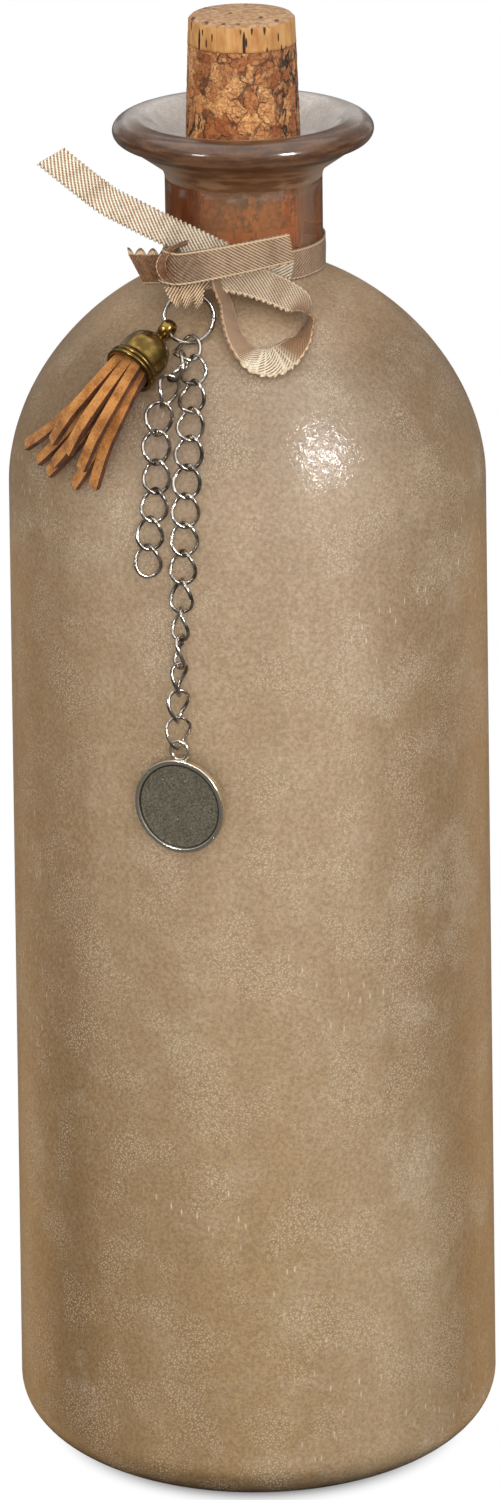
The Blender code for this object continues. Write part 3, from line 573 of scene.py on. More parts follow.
def grain_cork():
    material, tree = new_material("grain_cork", Roughness=0.85)
    places = object_places(tree)
    x, _, z = split(places)
    wander = fed("ShaderNodeTexNoise", {"Vector": places, "Scale": 700, "Detail": 3.0}).outputs["Color"]
    bent = fed("ShaderNodeMix", {0: 0.0022, 4: places, 5: wander}, data_type="VECTOR").outputs[1]
    body = colour(190, 124, 66)
    seams = 0.0
    for scale, share, strength in ((270, 1.0, 1.0), (640, 0.40, 0.6)):
        shade = split(fed("ShaderNodeTexVoronoi", {"Vector": bent, "Scale": scale}).outputs["Color"])
        lump = mixed(spread(shade[0], 0.1, 0.9), colour(150, 84, 36), colour(236, 176, 112))
        lump = mixed(times(spread(shade[1], 0.6, 0.8), 0.7), lump, colour(176, 98, 48))
        body = mixed(share, body, lump)
        edge = cells(bent, scale, "DISTANCE_TO_EDGE")
        seams = maths("MAXIMUM", seams, spread(edge, 0.01, 0.075, strength, 0.0))
    soft = grain(places, 1500, 3.0)
    body = mixed(spread(soft, 0.44, 0.70, 0.0, 0.5), body, colour(112, 56, 22))
    # Painted light: the cork just above the mouth is brightened where the lip shades it.
    shaded = times(spread(z, 0.3050, 0.2950), spread(z, 0.2870, 0.2885))
    body = tinted(body, (1.12, 1.08, 1.04, 1), shaded)
    partly = spread(grain(places, 330, 2.0), 0.45, 0.60)
    body = mixed(times(seams, times(partly, 0.80)), body, colour(62, 28, 10))
    pits = times(spread(cells(bent, 520), 0.10, 0.22, 1.0, 0.0), spread(soft, 0.35, 0.55))
    body = mixed(times(pits, 0.8), body, colour(70, 30, 12))
    ridges = away_from(grain(stretched(places, (1, 1, 0.40)), 260, 3.0, 0.6), 0.5)
    right = spread(x, 0.0045, 0.0095)
    left_low = times(spread(x, -0.0055, -0.0090), spread(z, 0.2990, 0.2950))
    sides = maths("MAXIMUM", right, times(left_low, 0.9))
    cracks = times(spread(ridges, 0.012, 0.040, 1.0, 0.0), sides)
    body = mixed(cracks, body, colour(30, 16, 8))
    low = spread(z, 0.2740, 0.2830, 1.0, 0.0)
    stain = spread(grain(places, 640, 4.0, 0.70), 0.51, 0.55)
    body = tinted(body, (0.96, 1.02, 0.98, 1), low)
    middle = times(spread(maths("ABSOLUTE", x), 0.003, 0.007, 1.0, 0.3), low)
    body = mixed(times(middle, stain), body, colour(34, 20, 16))
    from_spot = distance_from(places, CORK_STAIN)
    blots = spread(grain(places, 480, 3.0, 0.6), 0.46, 0.51)
    blots = times(blots, spread(from_spot, 0.0018, 0.0050, 1.0, 0.0))
    body = mixed(blots, body, colour(20, 14, 14))
    height = maths("SUBTRACT", times(soft, 0.5), maths("ADD", seams, cracks))
    finish(tree, Base_Color=body, Normal=raised(height, 0.0003, 0.9))
    return material


def satin(name, dark, light, strength, pitch, edge_light=None, plain=0.0, shaded=False, lean=1.0):
    """A ribbon finish between two colours: plain up to a length, and for the hanging loop shaded, with a
    painted sheen on its bottom and painted shade elsewhere.
    """
    dark, light = colour(*dark), colour(*light)
    material, tree = new_material(name, Roughness=0.42, Sheen_Weight=0.12, Sheen_Roughness=0.4)
    lengths = node(tree, "ShaderNodeUVMap", uv_map="ribbon").outputs[0]
    twill = use(tree, TWILL, lengths=stretched(lengths, (1.0, lean, 1.0)), pitch=pitch)
    along = split(lengths)[0]
    faint = grain(lengths, 900, 3.0, 0.6)
    folds = grain(stretched(lengths, (1.0, 0.15, 1.0)), 210, 2.0)
    share = times(twill["ribs"], strength)
    if plain:
        share = times(share, spread(along, plain * 0.8, plain * 1.2, 0.15, 1.0))
    share = maths("ADD", share, spread(faint, 0.3, 0.7, 0.0, 1.0 - strength))
    if shaded:
        # Painted sheen: a bright patch with glints on the bottom of the loop.
        painted_sheen_patch = between(along, *LOOP_PAINTED_SHEEN)
        bright = maths("MAXIMUM", painted_sheen_patch, spread(along, 0.0435, 0.0475, 0.0, 0.72))
        shine = grain(stretched(lengths, (1.0, 0.12, 1.0)), 900, 3.0, 0.6)
        painted_glint = times(painted_sheen_patch, spread(shine, 0.45, 0.62))
        share = maths("MAXIMUM", share, painted_glint)
        share = fed("ShaderNodeMix", {0: bright, 2: 0.5, 3: share}).outputs[0]
    body = mixed(share, dark, light)
    # Painted shade: soft darker bands across the ribbon, as shade in its folds.
    body = mixed(spread(folds, 0.34, 0.52), tinted(body, (0.80, 0.76, 0.70, 1)), body)
    if shaded:
        # Painted shade: the loop is darker outside its lit parts, more so past its bottom.
        painted_shade_tint = mixed(spread(along, 0.028, 0.034), (0.68, 0.50, 0.37, 1), (0.54, 0.37, 0.25, 1))
        body = mixed(bright, tinted(body, painted_shade_tint), body)
    if edge_light:
        line = away_from(twill["selvedge"], RIBBON_WIDTH * 0.45)
        body = mixed(spread(line, 0.00008, 0.00022, 0.9, 0.0), body, colour(*edge_light))
    finish(tree, Base_Color=body, Normal=raised(twill["height"], 0.00009, 0.9))
    return material


def worn_metal(name, scale, share, light, dark, roughness, dents, strength):
    """Bare metal with tarnish of this scale and share, its roughness given where it is light and dark."""
    material, tree = new_material(name, Metallic=1.0)
    worn = use(tree, TARNISH, places=object_places(tree), scale=scale)
    body = mixed(times(worn["dark"], share), colour(*light), colour(*dark))
    finish(tree, Base_Color=body, Roughness=spread(worn["dark"], 0.0, 1.0, *roughness),
           Normal=raised(worn["height"], dents, strength))
    return material


def pewter():
    material, tree = new_material("old_pewter")
    places = object_places(tree)
    worn = use(tree, TARNISH, places=places, scale=330.0)
    from_middle = distance_from(places, CHARM_MIDDLE - CHARM_UP * CHARM_DROP)
    rim = spread(from_middle, CHARM_RADIUS - CHARM_RIM - 0.0003, CHARM_RADIUS - CHARM_RIM + 0.0002)
    fine = spread(grain(places, 2400, 3.0, 0.7), 0.32, 0.68)
    field = mixed(fine, colour(96, 90, 76), colour(150, 142, 122))
    field = mixed(times(worn["dark"], 0.20), field, colour(74, 68, 58))
    ledge = away_from(from_middle, CHARM_RADIUS - CHARM_RIM - 0.0003)
    pits = spread(cells(places, 420), 0.10, 0.18, 1.0, 0.0)
    outer = spread(from_middle, CHARM_RADIUS * 0.62, CHARM_RADIUS * 0.86)
    field = mixed(times(pits, outer), field, colour(28, 26, 20))
    body = mixed(rim, field, colour(238, 230, 212))
    body = mixed(spread(ledge, 0.00010, 0.00032, 0.85, 0.0), body, colour(30, 26, 20))
    dents = maths("SUBTRACT", worn["height"], pits)
    finish(tree, Base_Color=body, Metallic=spread(rim, 0.0, 1.0, 0.55, 1.0),
           Roughness=spread(rim, 0.0, 1.0, 0.42, 0.18), Normal=raised(dents, 0.00020, 0.5))
    return material


def suede(name, dark, light):
    material, tree = new_material(name, Roughness=0.95, Sheen_Weight=0.08, Sheen_Roughness=0.6,
                                  Specular_IOR_Level=0.2)
    places = object_places(tree)
    nap = grain(places, 2200, 4.0, 0.75)
    patches = grain(places, 260, 2.0)
    share = times(maths("ADD", nap, patches), 0.5)
    finish(tree, Base_Color=mixed(spread(share, 0.36, 0.64), dark, light),
           Normal=raised(nap, 0.00015, 0.8))
    return material


# Mesh helpers

def new_mesh(name, builder):
    mesh = bpy.data.meshes.new(name)
    builder.to_mesh(mesh)
    builder.free()
    return mesh


def new_object(name, data):
    item = bpy.data.objects.new(name, data)
    bpy.context.scene.collection.objects.link(item)
    return item


def shown(name, builder, materials, body, slot_name, *nodes, levels=0):
    """Make a finished piece from a bmesh, with its body and the CAD nodes it stands for; its slot name is not
    used.
    """
    mesh = new_mesh(name, builder)
    for material in materials:
        mesh.materials.append(material)
    mesh.shade_smooth()
    item = new_object(name, mesh)
    if levels:
        rounding = item.modifiers.new("rounding", "SUBSURF")
        rounding.levels = levels
        rounding.render_levels = levels
    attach(item, body)
    if any(nodes):
        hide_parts(*nodes)
    return item


def turned(outline, segments):
    """Spin an outline of (radius, level) points about Z into a closed shell."""
    builder = bmesh.new()
    corners = [builder.verts.new((radius, 0, level)) for radius, level in outline]
    edges = [builder.edges.new(pair) for pair in zip(corners, corners[1:])]
    bmesh.ops.spin(builder, geom=corners + edges, cent=(0, 0, 0), axis=(0, 0, 1), angle=2 * pi,
                   steps=segments, use_merge=True, use_duplicate=False)
    bmesh.ops.remove_doubles(builder, verts=builder.verts[:], dist=GLUE_LINE / 10)
    bmesh.ops.recalc_face_normals(builder, faces=builder.faces[:])
    return builder


def quarter(middle, run, rise, start, end, steps):
    turns = [start + (end - start) * step / steps for step in range(steps + 1)]
    return [(middle[0] + run * cos(turn), middle[1] + rise * sin(turn)) for turn in turns]


def smooth_route(points, steps):
    """Points of a Catmull-Rom curve through the given vectors, with so many steps a span."""
    padded = [points[0] * 2 - points[1], *points, points[-1] * 2 - points[-2]]
    route = []
    for first, second, third, fourth in zip(padded, padded[1:], padded[2:], padded[3:]):
        for step in range(steps):
            t = step / steps
            route.append(0.5 * (2 * second + (third - first) * t
                                + (2 * first - 5 * second + 4 * third - fourth) * t * t
                                + (3 * second - first - 3 * third + fourth) * t * t * t))
    route.append(points[-1].copy())
    return route


def even_route(places, sides, gap):
    """The route and its width directions at places an even gap apart, with the whole length."""
    fine = smooth_route(places, 40)
    ways = smooth_route(sides, 40)
    runs = [0.0]
    for near, far in zip(fine, fine[1:]):
        runs.append(runs[-1] + (far - near).length)
    count = max(4, round(runs[-1] / gap))
    route, across, index = [], [], 0
    for step in range(count + 1):
        run = runs[-1] * step / count
        while index < len(runs) - 2 and runs[index + 1] < run:
            index += 1
        share = (run - runs[index]) / (runs[index + 1] - runs[index])
        route.append(fine[index].lerp(fine[index + 1], share))
        across.append(ways[index].lerp(ways[index + 1], share).normalized())
    return route, across, runs[-1]


def at_share(stops, share):
    """The value at a share of the way along evenly spaced stops."""
    at = share * (len(stops) - 1)
    index = min(int(at), len(stops) - 2)
    return stops[index] + (stops[index + 1] - stops[index]) * (at - index)


def ribbon_sheet(table, widths=(1.0, 1.0), columns=12, gap=0.00010, picots=(0.0, 0.0), pitch=PICOT_PITCH,
                 cup=0.0, creases=0.0, cut=0.0, pleats=0.0):
    """A woven strip: a grid laid along a table's route and given its widths, edge loops and creases."""
    places = [Vector(place) for place, side in table]
    sides = [Vector(side).normalized() for place, side in table]
    route, across, length = even_route(places, sides, gap)
    rows = len(route) - 1
    builder = bmesh.new()
    builder.loops.layers.uv.new("ribbon")
    bmesh.ops.create_grid(builder, x_segments=rows, y_segments=columns, size=1.0, calc_uvs=True)
    uv = builder.loops.layers.uv["ribbon"]
    way = builder.verts.layers.float_vector.new("way")
    for face in builder.faces:
        for corner in face.loops:
            u, v = corner[uv].uv
            corner[uv].uv = (u * length, (v - 0.5) * RIBBON_WIDTH)
    for vertex in builder.verts:
        share = (vertex.co.x + 1) / 2
        s = vertex.co.y
        if cut:
            share = share * (1 - cut * (s + 1) / 2)
        at = share * rows
        index = min(int(at), rows - 1)
        place = route[index].lerp(route[index + 1], at - index)
        side = across[index].lerp(across[index + 1], at - index)
        before, after = route[max(index - 2, 0)], route[min(index + 3, rows)]
        along = (after - before).normalized()
        side = (side - along * side.dot(along)).normalized()
        face_way = along.cross(side)
        run = share * length
        reach = RIBBON_WIDTH / 2 * at_share(widths, share)
        if abs(s) > 0.999:
            reach += picots[s > 0] * (abs(sin(pi * run / pitch)) - PICOT_REST)
        lift = cup * (1 - s * s) + creases * noise.noise(Vector((run * 260, s * 1.3, length * 900)))
        if pleats:
            narrow = 1.35 - at_share(widths, share)
            lift += pleats * narrow * sin(7.5 * s + 1.5 * noise.noise(Vector((run * 150, s * 2, 5))))
        vertex.co = place + side * (s * reach) + face_way * lift
        vertex[way] = face_way
    grown = bmesh.ops.extrude_face_region(builder, geom=builder.faces[:], use_keep_orig=True)
    for part in grown["geom"]:
        if isinstance(part, bmesh.types.BMVert):
            part.co += part[way] * (RIBBON_THICKNESS * SHEET_SHARE)
    builder.verts.layers.float_vector.remove(way)
    bmesh.ops.recalc_face_normals(builder, faces=builder.faces[:])
    return builder


def merged_copy(node_name):
    """A CAD node's mesh with its doubles merged and its triangles paired into quads."""
    builder = bmesh.new()
    builder.from_mesh(frame["nodes"][node_name].data)
    bmesh.ops.remove_doubles(builder, verts=builder.verts[:], dist=GLUE_LINE / 50)
    limits = {f"cmp_{kind}": False for kind in ("seam", "sharp", "uvs", "vcols", "materials")}
    bmesh.ops.join_triangles(builder, faces=builder.faces[:], angle_face_threshold=radians(40),
                             angle_shape_threshold=radians(60), **limits)
    return builder


def at_place(middle, first, second, third):
    """The matrix that carries the axes to three directions at a place."""
    return Matrix.Translation(middle) @ Matrix((first, second, third)).transposed().to_4x4()


def placed(builder, matrix):
    """Carry a shell to its place, its faces all turned outward."""
    bmesh.ops.transform(builder, matrix=matrix, verts=builder.verts[:])
    bmesh.ops.recalc_face_normals(builder, faces=builder.faces[:])
    return builder


def swollen(builder, distance):
    """Move each point out along its normal, to make up for what rounding takes off."""
    builder.normal_update()
    for vertex in builder.verts:
        vertex.co += vertex.normal * distance
    return builder


def ring_of_wire(middle, first, second, radius, wire, segments=40, sides=12, depth=1.0):
    """A wire ring whose plane holds the two directions; a depth over 1 makes it a short tube."""
    builder = bmesh.new()
    bmesh.ops.create_circle(builder, cap_ends=False, segments=sides, radius=wire,
                            matrix=Matrix.Translation((radius, 0, 0)) @ Matrix.Rotation(pi / 2, 4, "X"))
    bmesh.ops.spin(builder, geom=builder.verts[:] + builder.edges[:], cent=(0, 0, 0), axis=(0, 0, 1),
                   angle=2 * pi, steps=segments, use_merge=True, use_duplicate=False)
    bmesh.ops.remove_doubles(builder, verts=builder.verts[:], dist=GLUE_LINE / 10)
    bmesh.ops.scale(builder, vec=(1, 1, depth), verts=builder.verts[:])
    return placed(builder, at_place(middle, first, second, first.cross(second)))


def joined(first, second):
    """Both shells in one bmesh."""
    mesh = new_mesh("joining", second)
    first.from_mesh(mesh)
    bpy.data.meshes.remove(mesh)
    return first


# Bottle

def shoulder_arc(radius, rise, end_radius, steps):
    last = acos((end_radius / radius) ** (SHOULDER_EXPONENT / 2))
    points = []
    for step in range(steps + 1):
        turn = last * step / steps
        points.append((radius * cos(turn) ** (2 / SHOULDER_EXPONENT),
                       SHOULDER_LEVEL + rise * sin(turn) ** (2 / SHOULDER_EXPONENT)))
    return points


def bottle_outline():
    heel = quarter((FOOT_RADIUS - HEEL_RUN, HEEL_RISE), HEEL_RUN, HEEL_RISE, -pi / 2, 0, 20)
    wall = [(FOOT_RADIUS + (SHOULDER_RADIUS - FOOT_RADIUS) * step / 10,
             HEEL_RISE + (SHOULDER_LEVEL - HEEL_RISE) * step / 10) for step in range(1, 10)]
    shoulder = shoulder_arc(SHOULDER_RADIUS, SHOULDER_RISE, NECK_RADIUS + NECK_FILLET, 44)
    neck = [(NECK_RADIUS + NECK_FILLET * 0.25, NECK_FOOT_LEVEL + NECK_FILLET * 0.4),
            (NECK_RADIUS, NECK_FOOT_LEVEL + NECK_FILLET), (NECK_RADIUS, CLEAR_GLASS_LEVEL)]
    flare = quarter((NECK_RADIUS + FLARE_RADIUS, NECK_TOP_LEVEL), FLARE_RADIUS, FLARE_RADIUS, pi,
                    pi - FLARE_TURN, 10)
    under = quarter((LIP_RADIUS - LIP_UNDER_RUN, LIP_LEVEL), LIP_UNDER_RUN, LIP_UNDER_DROP, -pi / 2, 0, 10)
    crest_run, crest_rise = LIP_RADIUS - CREST_RADIUS, CREST_LEVEL - LIP_LEVEL
    crest = quarter((CREST_RADIUS, LIP_LEVEL), crest_run, crest_rise, 0, pi / 2, 14)
    dish_run = CREST_RADIUS - MOUTH_RADIUS - MOUTH_ROUND
    dish = []
    for step in range(1, 17):
        share = 1 - step / 16
        dish.append((MOUTH_RADIUS + MOUTH_ROUND + dish_run * share,
                     MOUTH_LEVEL + (CREST_LEVEL - MOUTH_LEVEL) * (1 - cos(pi * share)) / 2))
    bore = [(MOUTH_RADIUS + MOUTH_ROUND * 0.3, MOUTH_LEVEL - MOUTH_ROUND * 0.3),
            (MOUTH_RADIUS, MOUTH_LEVEL - MOUTH_ROUND), (BORE_END_RADIUS, CORK_END_LEVEL)]
    inner_radius = SHOULDER_RADIUS - SIDE_WALL
    inner_shoulder = shoulder_arc(inner_radius, SHOULDER_RISE - SHOULDER_WALL, BORE_END_RADIUS, 16)
    inner_foot = FOOT_RADIUS - SIDE_WALL
    inner_heel = quarter((inner_foot - INNER_HEEL, BASE_WALL + INNER_HEEL), INNER_HEEL, INNER_HEEL,
                         0, -pi / 2, 8)
    return ([(0, 0)] + heel + wall + shoulder + neck + flare + under + crest[1:] + dish + bore
            + list(reversed(inner_shoulder)) + inner_heel + [(0, BASE_WALL)])


def dress_bottle():
    builder = turned(bottle_outline(), BOTTLE_SEGMENTS)
    for face in builder.faces:
        level = face.calc_center_median().z
        if level > LIP_GLASS_LEVEL:
            face.material_index = 2
        elif level > CLEAR_GLASS_LEVEL:
            face.material_index = 1
    shown("bottle_of_frosted_glass", builder, [frosted_glass(), neck_glass(), lip_glass()], "bottle",
          "frosted_glass", "glass_bottle")


# Cork

def cork_radius(level):
    if level > MOUTH_LEVEL:
        share = (level - MOUTH_LEVEL) / (CORK_TOP_LEVEL - MOUTH_LEVEL)
        swell = CORK_SWELL * min(1.0, share / 0.04) * (1 - share) ** 0.7
        return CORK_MOUTH_RADIUS + (CORK_TOP_RADIUS - CORK_MOUTH_RADIUS) * share + swell
    share = (level - CORK_END_LEVEL) / (MOUTH_LEVEL - CORK_END_LEVEL)
    return CORK_END_RADIUS + (CORK_MOUTH_RADIUS - CORK_END_RADIUS) * share


def cork_piece(name, low, high, material, slot_name, node_name, roughness):
    steps = max(8, round((high - low) / 0.0006))
    levels = [low + (high - low) * step / steps for step in range(steps + 1)]
    outline = [(0, low), (cork_radius(low) * 0.5, low)]
    for level in levels:
        radius = cork_radius(level)
        to_end = min(abs(level - CORK_END_LEVEL), abs(level - CORK_TOP_LEVEL))
        if to_end < CORK_EDGE:
            radius -= CORK_EDGE - sqrt(max(0.0, CORK_EDGE ** 2 - (CORK_EDGE - to_end) ** 2))
        outline.append((radius, level))
    outline += [(cork_radius(high) * 0.5, high), (0, high)]
    builder = turned(outline, CORK_SEGMENTS)
    for vertex in builder.verts:
        if abs(vertex.co.z - low) < GLUE_LINE or abs(vertex.co.z - high) < GLUE_LINE:
            continue
        away = Vector((vertex.co.x, vertex.co.y, 0)).normalized()
        dent = noise.noise(vertex.co * 420) - abs(noise.noise(vertex.co * 900))
        vertex.co += away * (dent * roughness - roughness * 0.4)
    shown(name, builder, [material], "stopper", slot_name, node_name)


def dress_cork():
    low_joint = CORK_END_LEVEL + CORK_DISC
    high_joint = CORK_TOP_LEVEL - CORK_DISC
    whole = whole_cork()
    cork_piece("cork_lower_slice", CORK_END_LEVEL, low_joint - GLUE_LINE, whole, "whole_cork",
               "cork_lower_disc", 0.00004)
    cork_piece("cork_of_grains", low_joint, high_joint, grain_cork(), "grain_cork", "cork_body", 0.00012)
    cork_piece("cork_upper_slice", high_joint + GLUE_LINE, CORK_TOP_LEVEL, whole, "whole_cork",
               "cork_upper_disc", 0.00006)


# Ribbon

def band_round_neck(material):
    """The turn of ribbon round the neck, its ends meeting behind."""
    count = 180
    turns = [2 * pi * step / count for step in range(count + 1)]
    table = [((BAND_RADIUS * sin(turn), BAND_RADIUS * cos(turn), BAND_LEVEL), (0, 0, 1)) for turn in turns]
    builder = ribbon_sheet(table, gap=0.0003, creases=0.00010)
    shown("ribbon_round_neck", builder, [material], "bottle", "satin_ribbon", "ribbon_neck_band")


def wrapped_knot(material):
    """A block with rounded edges and the slight folds of the ribbon wound round it."""
    builder = bmesh.new()
    builder.loops.layers.uv.new("ribbon")
    bmesh.ops.create_cube(builder, size=1.0, calc_uvs=True)
    bmesh.ops.scale(builder, vec=KNOT_SIZE, verts=builder.verts[:])
    bmesh.ops.bevel(builder, geom=builder.edges[:], offset=KNOT_ROUND, segments=3, profile=0.5,
                    affect="EDGES", material=-1)
    bmesh.ops.subdivide_edges(builder, edges=builder.edges[:], cuts=3, use_grid_fill=True)
    uv = builder.loops.layers.uv["ribbon"]
    for face in builder.faces:
        for corner in face.loops:
            place = corner.vert.co
            corner[uv].uv = (place.x + place.y, place.z)
    for vertex in builder.verts:
        x, y, z = vertex.co
        vertex.co += vertex.normal * (KNOT_FOLDS * noise.noise(Vector((x * 200, y * 200, z * 700))))
    placed(builder, Matrix.Translation(KNOT_MIDDLE) @ Matrix.Rotation(KNOT_TURN, 4, "Z"))
    shown("ribbon_wrapped_knot", builder, [material], "bottle", "satin_ribbon", "ribbon_knot")


def dress_ribbon():
    # The ribbon's pieces have different colours: partly the ribbon's two faces, and partly painted light and
    # shade for how each piece faces the lamps.
    cream = satin("satin_cream", (166, 112, 60), (255, 250, 228), 0.86, 0.00105, lean=-1.0)
    taupe = satin("satin_taupe", (118, 82, 52), (184, 148, 110), 0.6, 0.00095, (222, 194, 156))
    bow = satin("satin_bow", (102, 70, 42), (204, 172, 136), 0.80, 0.0009, (226, 194, 152), plain=0.017)
    brown = satin("satin_brown", (110, 72, 46), (158, 118, 84), 0.4, 0.00085, (220, 184, 142))
    bunch = satin("satin_bunch", (104, 60, 30), (250, 218, 176), 0.85, 0.0008, lean=-1.0)
    loop = satin("satin_loop", (140, 92, 54), (255, 240, 210), 0.85, 0.00085, (232, 200, 160), shaded=True,
                 lean=-1.0)
    # Painted shade: the curl's dark brown stands for the shade inside the fold of ribbon.
    fold = satin("satin_shaded_curl", (104, 60, 28), (168, 112, 66), 0.3, 0.00085, (238, 198, 150))
    band_round_neck(taupe)
    wrapped_knot(cream)
    for name, node_name, table, material, settings in (
            ("ribbon_cream_tail", "ribbon_long_tail", TAIL_PLACES, cream,
             {"picots": (0.0005, 0.0005), "pitch": 0.00105, "cut": 0.05, "creases": 0.0003,
              "widths": (0.88, 0.90, 0.90, 0.88)}),
            ("ribbon_brown_tail", "ribbon_short_tail", SHORT_TAIL_PLACES, brown,
             {"picots": (0.0015, 0.0), "pitch": 0.0026, "cut": 0.30, "creases": 0.0003,
              "widths": (0.95, 1.0, 1.0, 1.05)}),
            ("ribbon_bow_strip", "ribbon_bow_fold", BOW_PLACES, bow,
             {"cup": 0.00015, "widths": (1.05, 1.05, 1.0, 0.95)}),
            ("ribbon_tie", "ribbon_tie_fold", TIE_PLACES, bunch,
             {"picots": (0.0003, 0.0003), "pleats": 0.0011, "columns": 48, "creases": 0.0004,
              "widths": (1.1, 1.0, 0.85, 0.72, 0.90, 1.15, 1.25)}),
            ("ribbon_loop", "ribbon_hanging_loop", LOOP_PLACES, loop,
             {"picots": (0.0005, 0.0002), "pitch": 0.0014, "creases": 0.0001,
              "widths": (0.80, 0.86, 0.95, 1.0, 1.0, 1.0, 1.0, 1.0)}),
            ("ribbon_cream_fold", "", CREAM_FOLD_PLACES, cream, {"widths": (0.9, 0.8, 0.8, 0.9)}),
            ("ribbon_curl", "", CURL_PLACES, fold,
             {"cup": -0.0006, "widths": (0.1, 0.30, 0.50, 0.50, 0.36, 0.1)})):
        shown(name, ribbon_sheet(table, **settings), [material], "bottle", "satin_ribbon", node_name)


# Chain, tassel and charm

def straightened(builder, axis, rounds, share):
    """Take the small waves out of a lace: each ring of corners moves whole, and the ends stay."""
    builder.verts.index_update()
    rings = [sorted(builder.verts, key=lambda vertex: vertex.co.dot(axis))[:4]]
    seen = set(rings[0])
    while True:
        fresh = {edge.other_vert(vertex) for vertex in rings[-1] for edge in vertex.link_edges} - seen
        if not fresh:
            break
        rings.append(sorted(fresh, key=lambda vertex: vertex.index))
        seen |= fresh
    middles = [sum((vertex.co for vertex in ring), Vector()) / len(ring) for ring in rings]
    eased = [middle.copy() for middle in middles]
    for _ in range(rounds):
        for index in range(3, len(rings) - 1):
            before, after = eased[index - 1], eased[index + 1]
            near, far = (eased[index] - before).length, (after - eased[index]).length
            eased[index] = eased[index].lerp(before.lerp(after, near / (near + far)), 0.5)
    for ring, middle, place in zip(rings, middles, eased):
        for vertex in ring:
            vertex.co += (place - middle) * share
    return builder


def dress_chain():
    material = worn_metal("silver_wire", 420.0, 0.8, (206, 198, 188), (40, 32, 26), (0.12, 0.28), 0.00010, 0.4)
    ring = swollen(merged_copy("jump_ring"), RING_WIRE * RING_SWELL)
    shown("ring_of_wire", ring, [material], "jump_ring", "silver_wire", "jump_ring", levels=2)
    for body in frame["bodies"]:
        if "_link_" in body:
            node_name = body.replace("_link_", "_strand_link_")
            swell = 0.0 if body == "long_link_15" else LINK_SWELL
            link = swollen(merged_copy(node_name), LINK_WIRE * swell)
            shown(body + "_wire", link, [material], body, "silver_wire", node_name, levels=2)


def cap_outline():
    dome_start = EYE_RADIUS + EYE_WIRE + CAP_NECK_LENGTH
    lean = asin(CAP_NECK_RADIUS / DOME_RADIUS)
    dome_middle = dome_start + DOME_RADIUS * cos(lean)
    outline = [(0, EYE_RADIUS), (CAP_NECK_RADIUS * 0.85, EYE_RADIUS),
               (CAP_NECK_RADIUS, EYE_RADIUS + 0.0002)]
    for step in range(25):
        turn = lean + (pi / 2 - lean) * step / 24
        outline.append((DOME_RADIUS * sin(turn), dome_middle - DOME_RADIUS * cos(turn)))
    level = dome_middle + SKIRT_LENGTH
    outline += [(DOME_RADIUS, dome_middle + SKIRT_LENGTH * step / 4) for step in range(1, 4)]
    for _ in range(2):
        for step in range(9):
            turn = -pi / 2 + pi * step / 8 * 0.98
            outline.append((DOME_RADIUS + BEAD_RADIUS * cos(turn), level + BEAD_RADIUS * (1 + sin(turn))))
        level += 2 * BEAD_RADIUS
    inside = DOME_RADIUS - CAP_WALL
    outline += [(DOME_RADIUS, level), (inside, level), (inside, dome_middle + SKIRT_LENGTH / 2),
                (inside, dome_middle), (0, dome_middle)]
    return outline


def dress_cap():
    bronze = worn_metal("old_bronze", 230.0, 0.7, (150, 122, 66), (52, 40, 20), (0.20, 0.34), 0.00008, 0.3)
    builder = placed(turned(cap_outline(), 64), at_place(TASSEL_EYE, CAP_SIDE, CAP_FRONT, CAP_AXIS))
    turned_across = (EYE_ACROSS + CAP_AXIS.cross(EYE_ACROSS) * EYE_TURN).normalized()
    eye = ring_of_wire(TASSEL_EYE, turned_across, CAP_AXIS, EYE_RADIUS + EYE_SWELL, EYE_WIRE + EYE_SWELL,
                       depth=EYE_DEPTH)
    shown("tassel_bell_cap", joined(builder, eye), [bronze], "tassel", "old_bronze", "tassel_cap")


def dress_strips():
    nap = suede("tan_suede", colour(146, 88, 38), colour(214, 148, 80))
    sides = suede("suede_cut_side", colour(58, 28, 10), colour(112, 62, 26))
    for number in range(1, 10):
        node_name = f"suede_strip_{number}"
        builder = merged_copy(node_name)
        for face in builder.faces:
            across = [edge.calc_length() for edge in face.edges if edge.calc_face_angle(0) < SHARP_FOLD]
            face.material_index = int(not across or min(across) < SIDE_REACH)
        straightened(builder, CAP_AXIS, LACE_ROUNDS, LACE_SHARE)
        swollen(builder, STRIP_SWELL)
        sharp = [edge for edge in builder.edges if edge.is_manifold and edge.calc_face_angle(0) > SHARP_FOLD]
        bmesh.ops.bevel(builder, geom=sharp, offset=STRIP_EDGE, segments=2, profile=0.5, affect="EDGES",
                        material=-1)
        shown(f"suede_lace_{number}", builder, [nap, sides], "tassel", "tan_suede", node_name, levels=2)


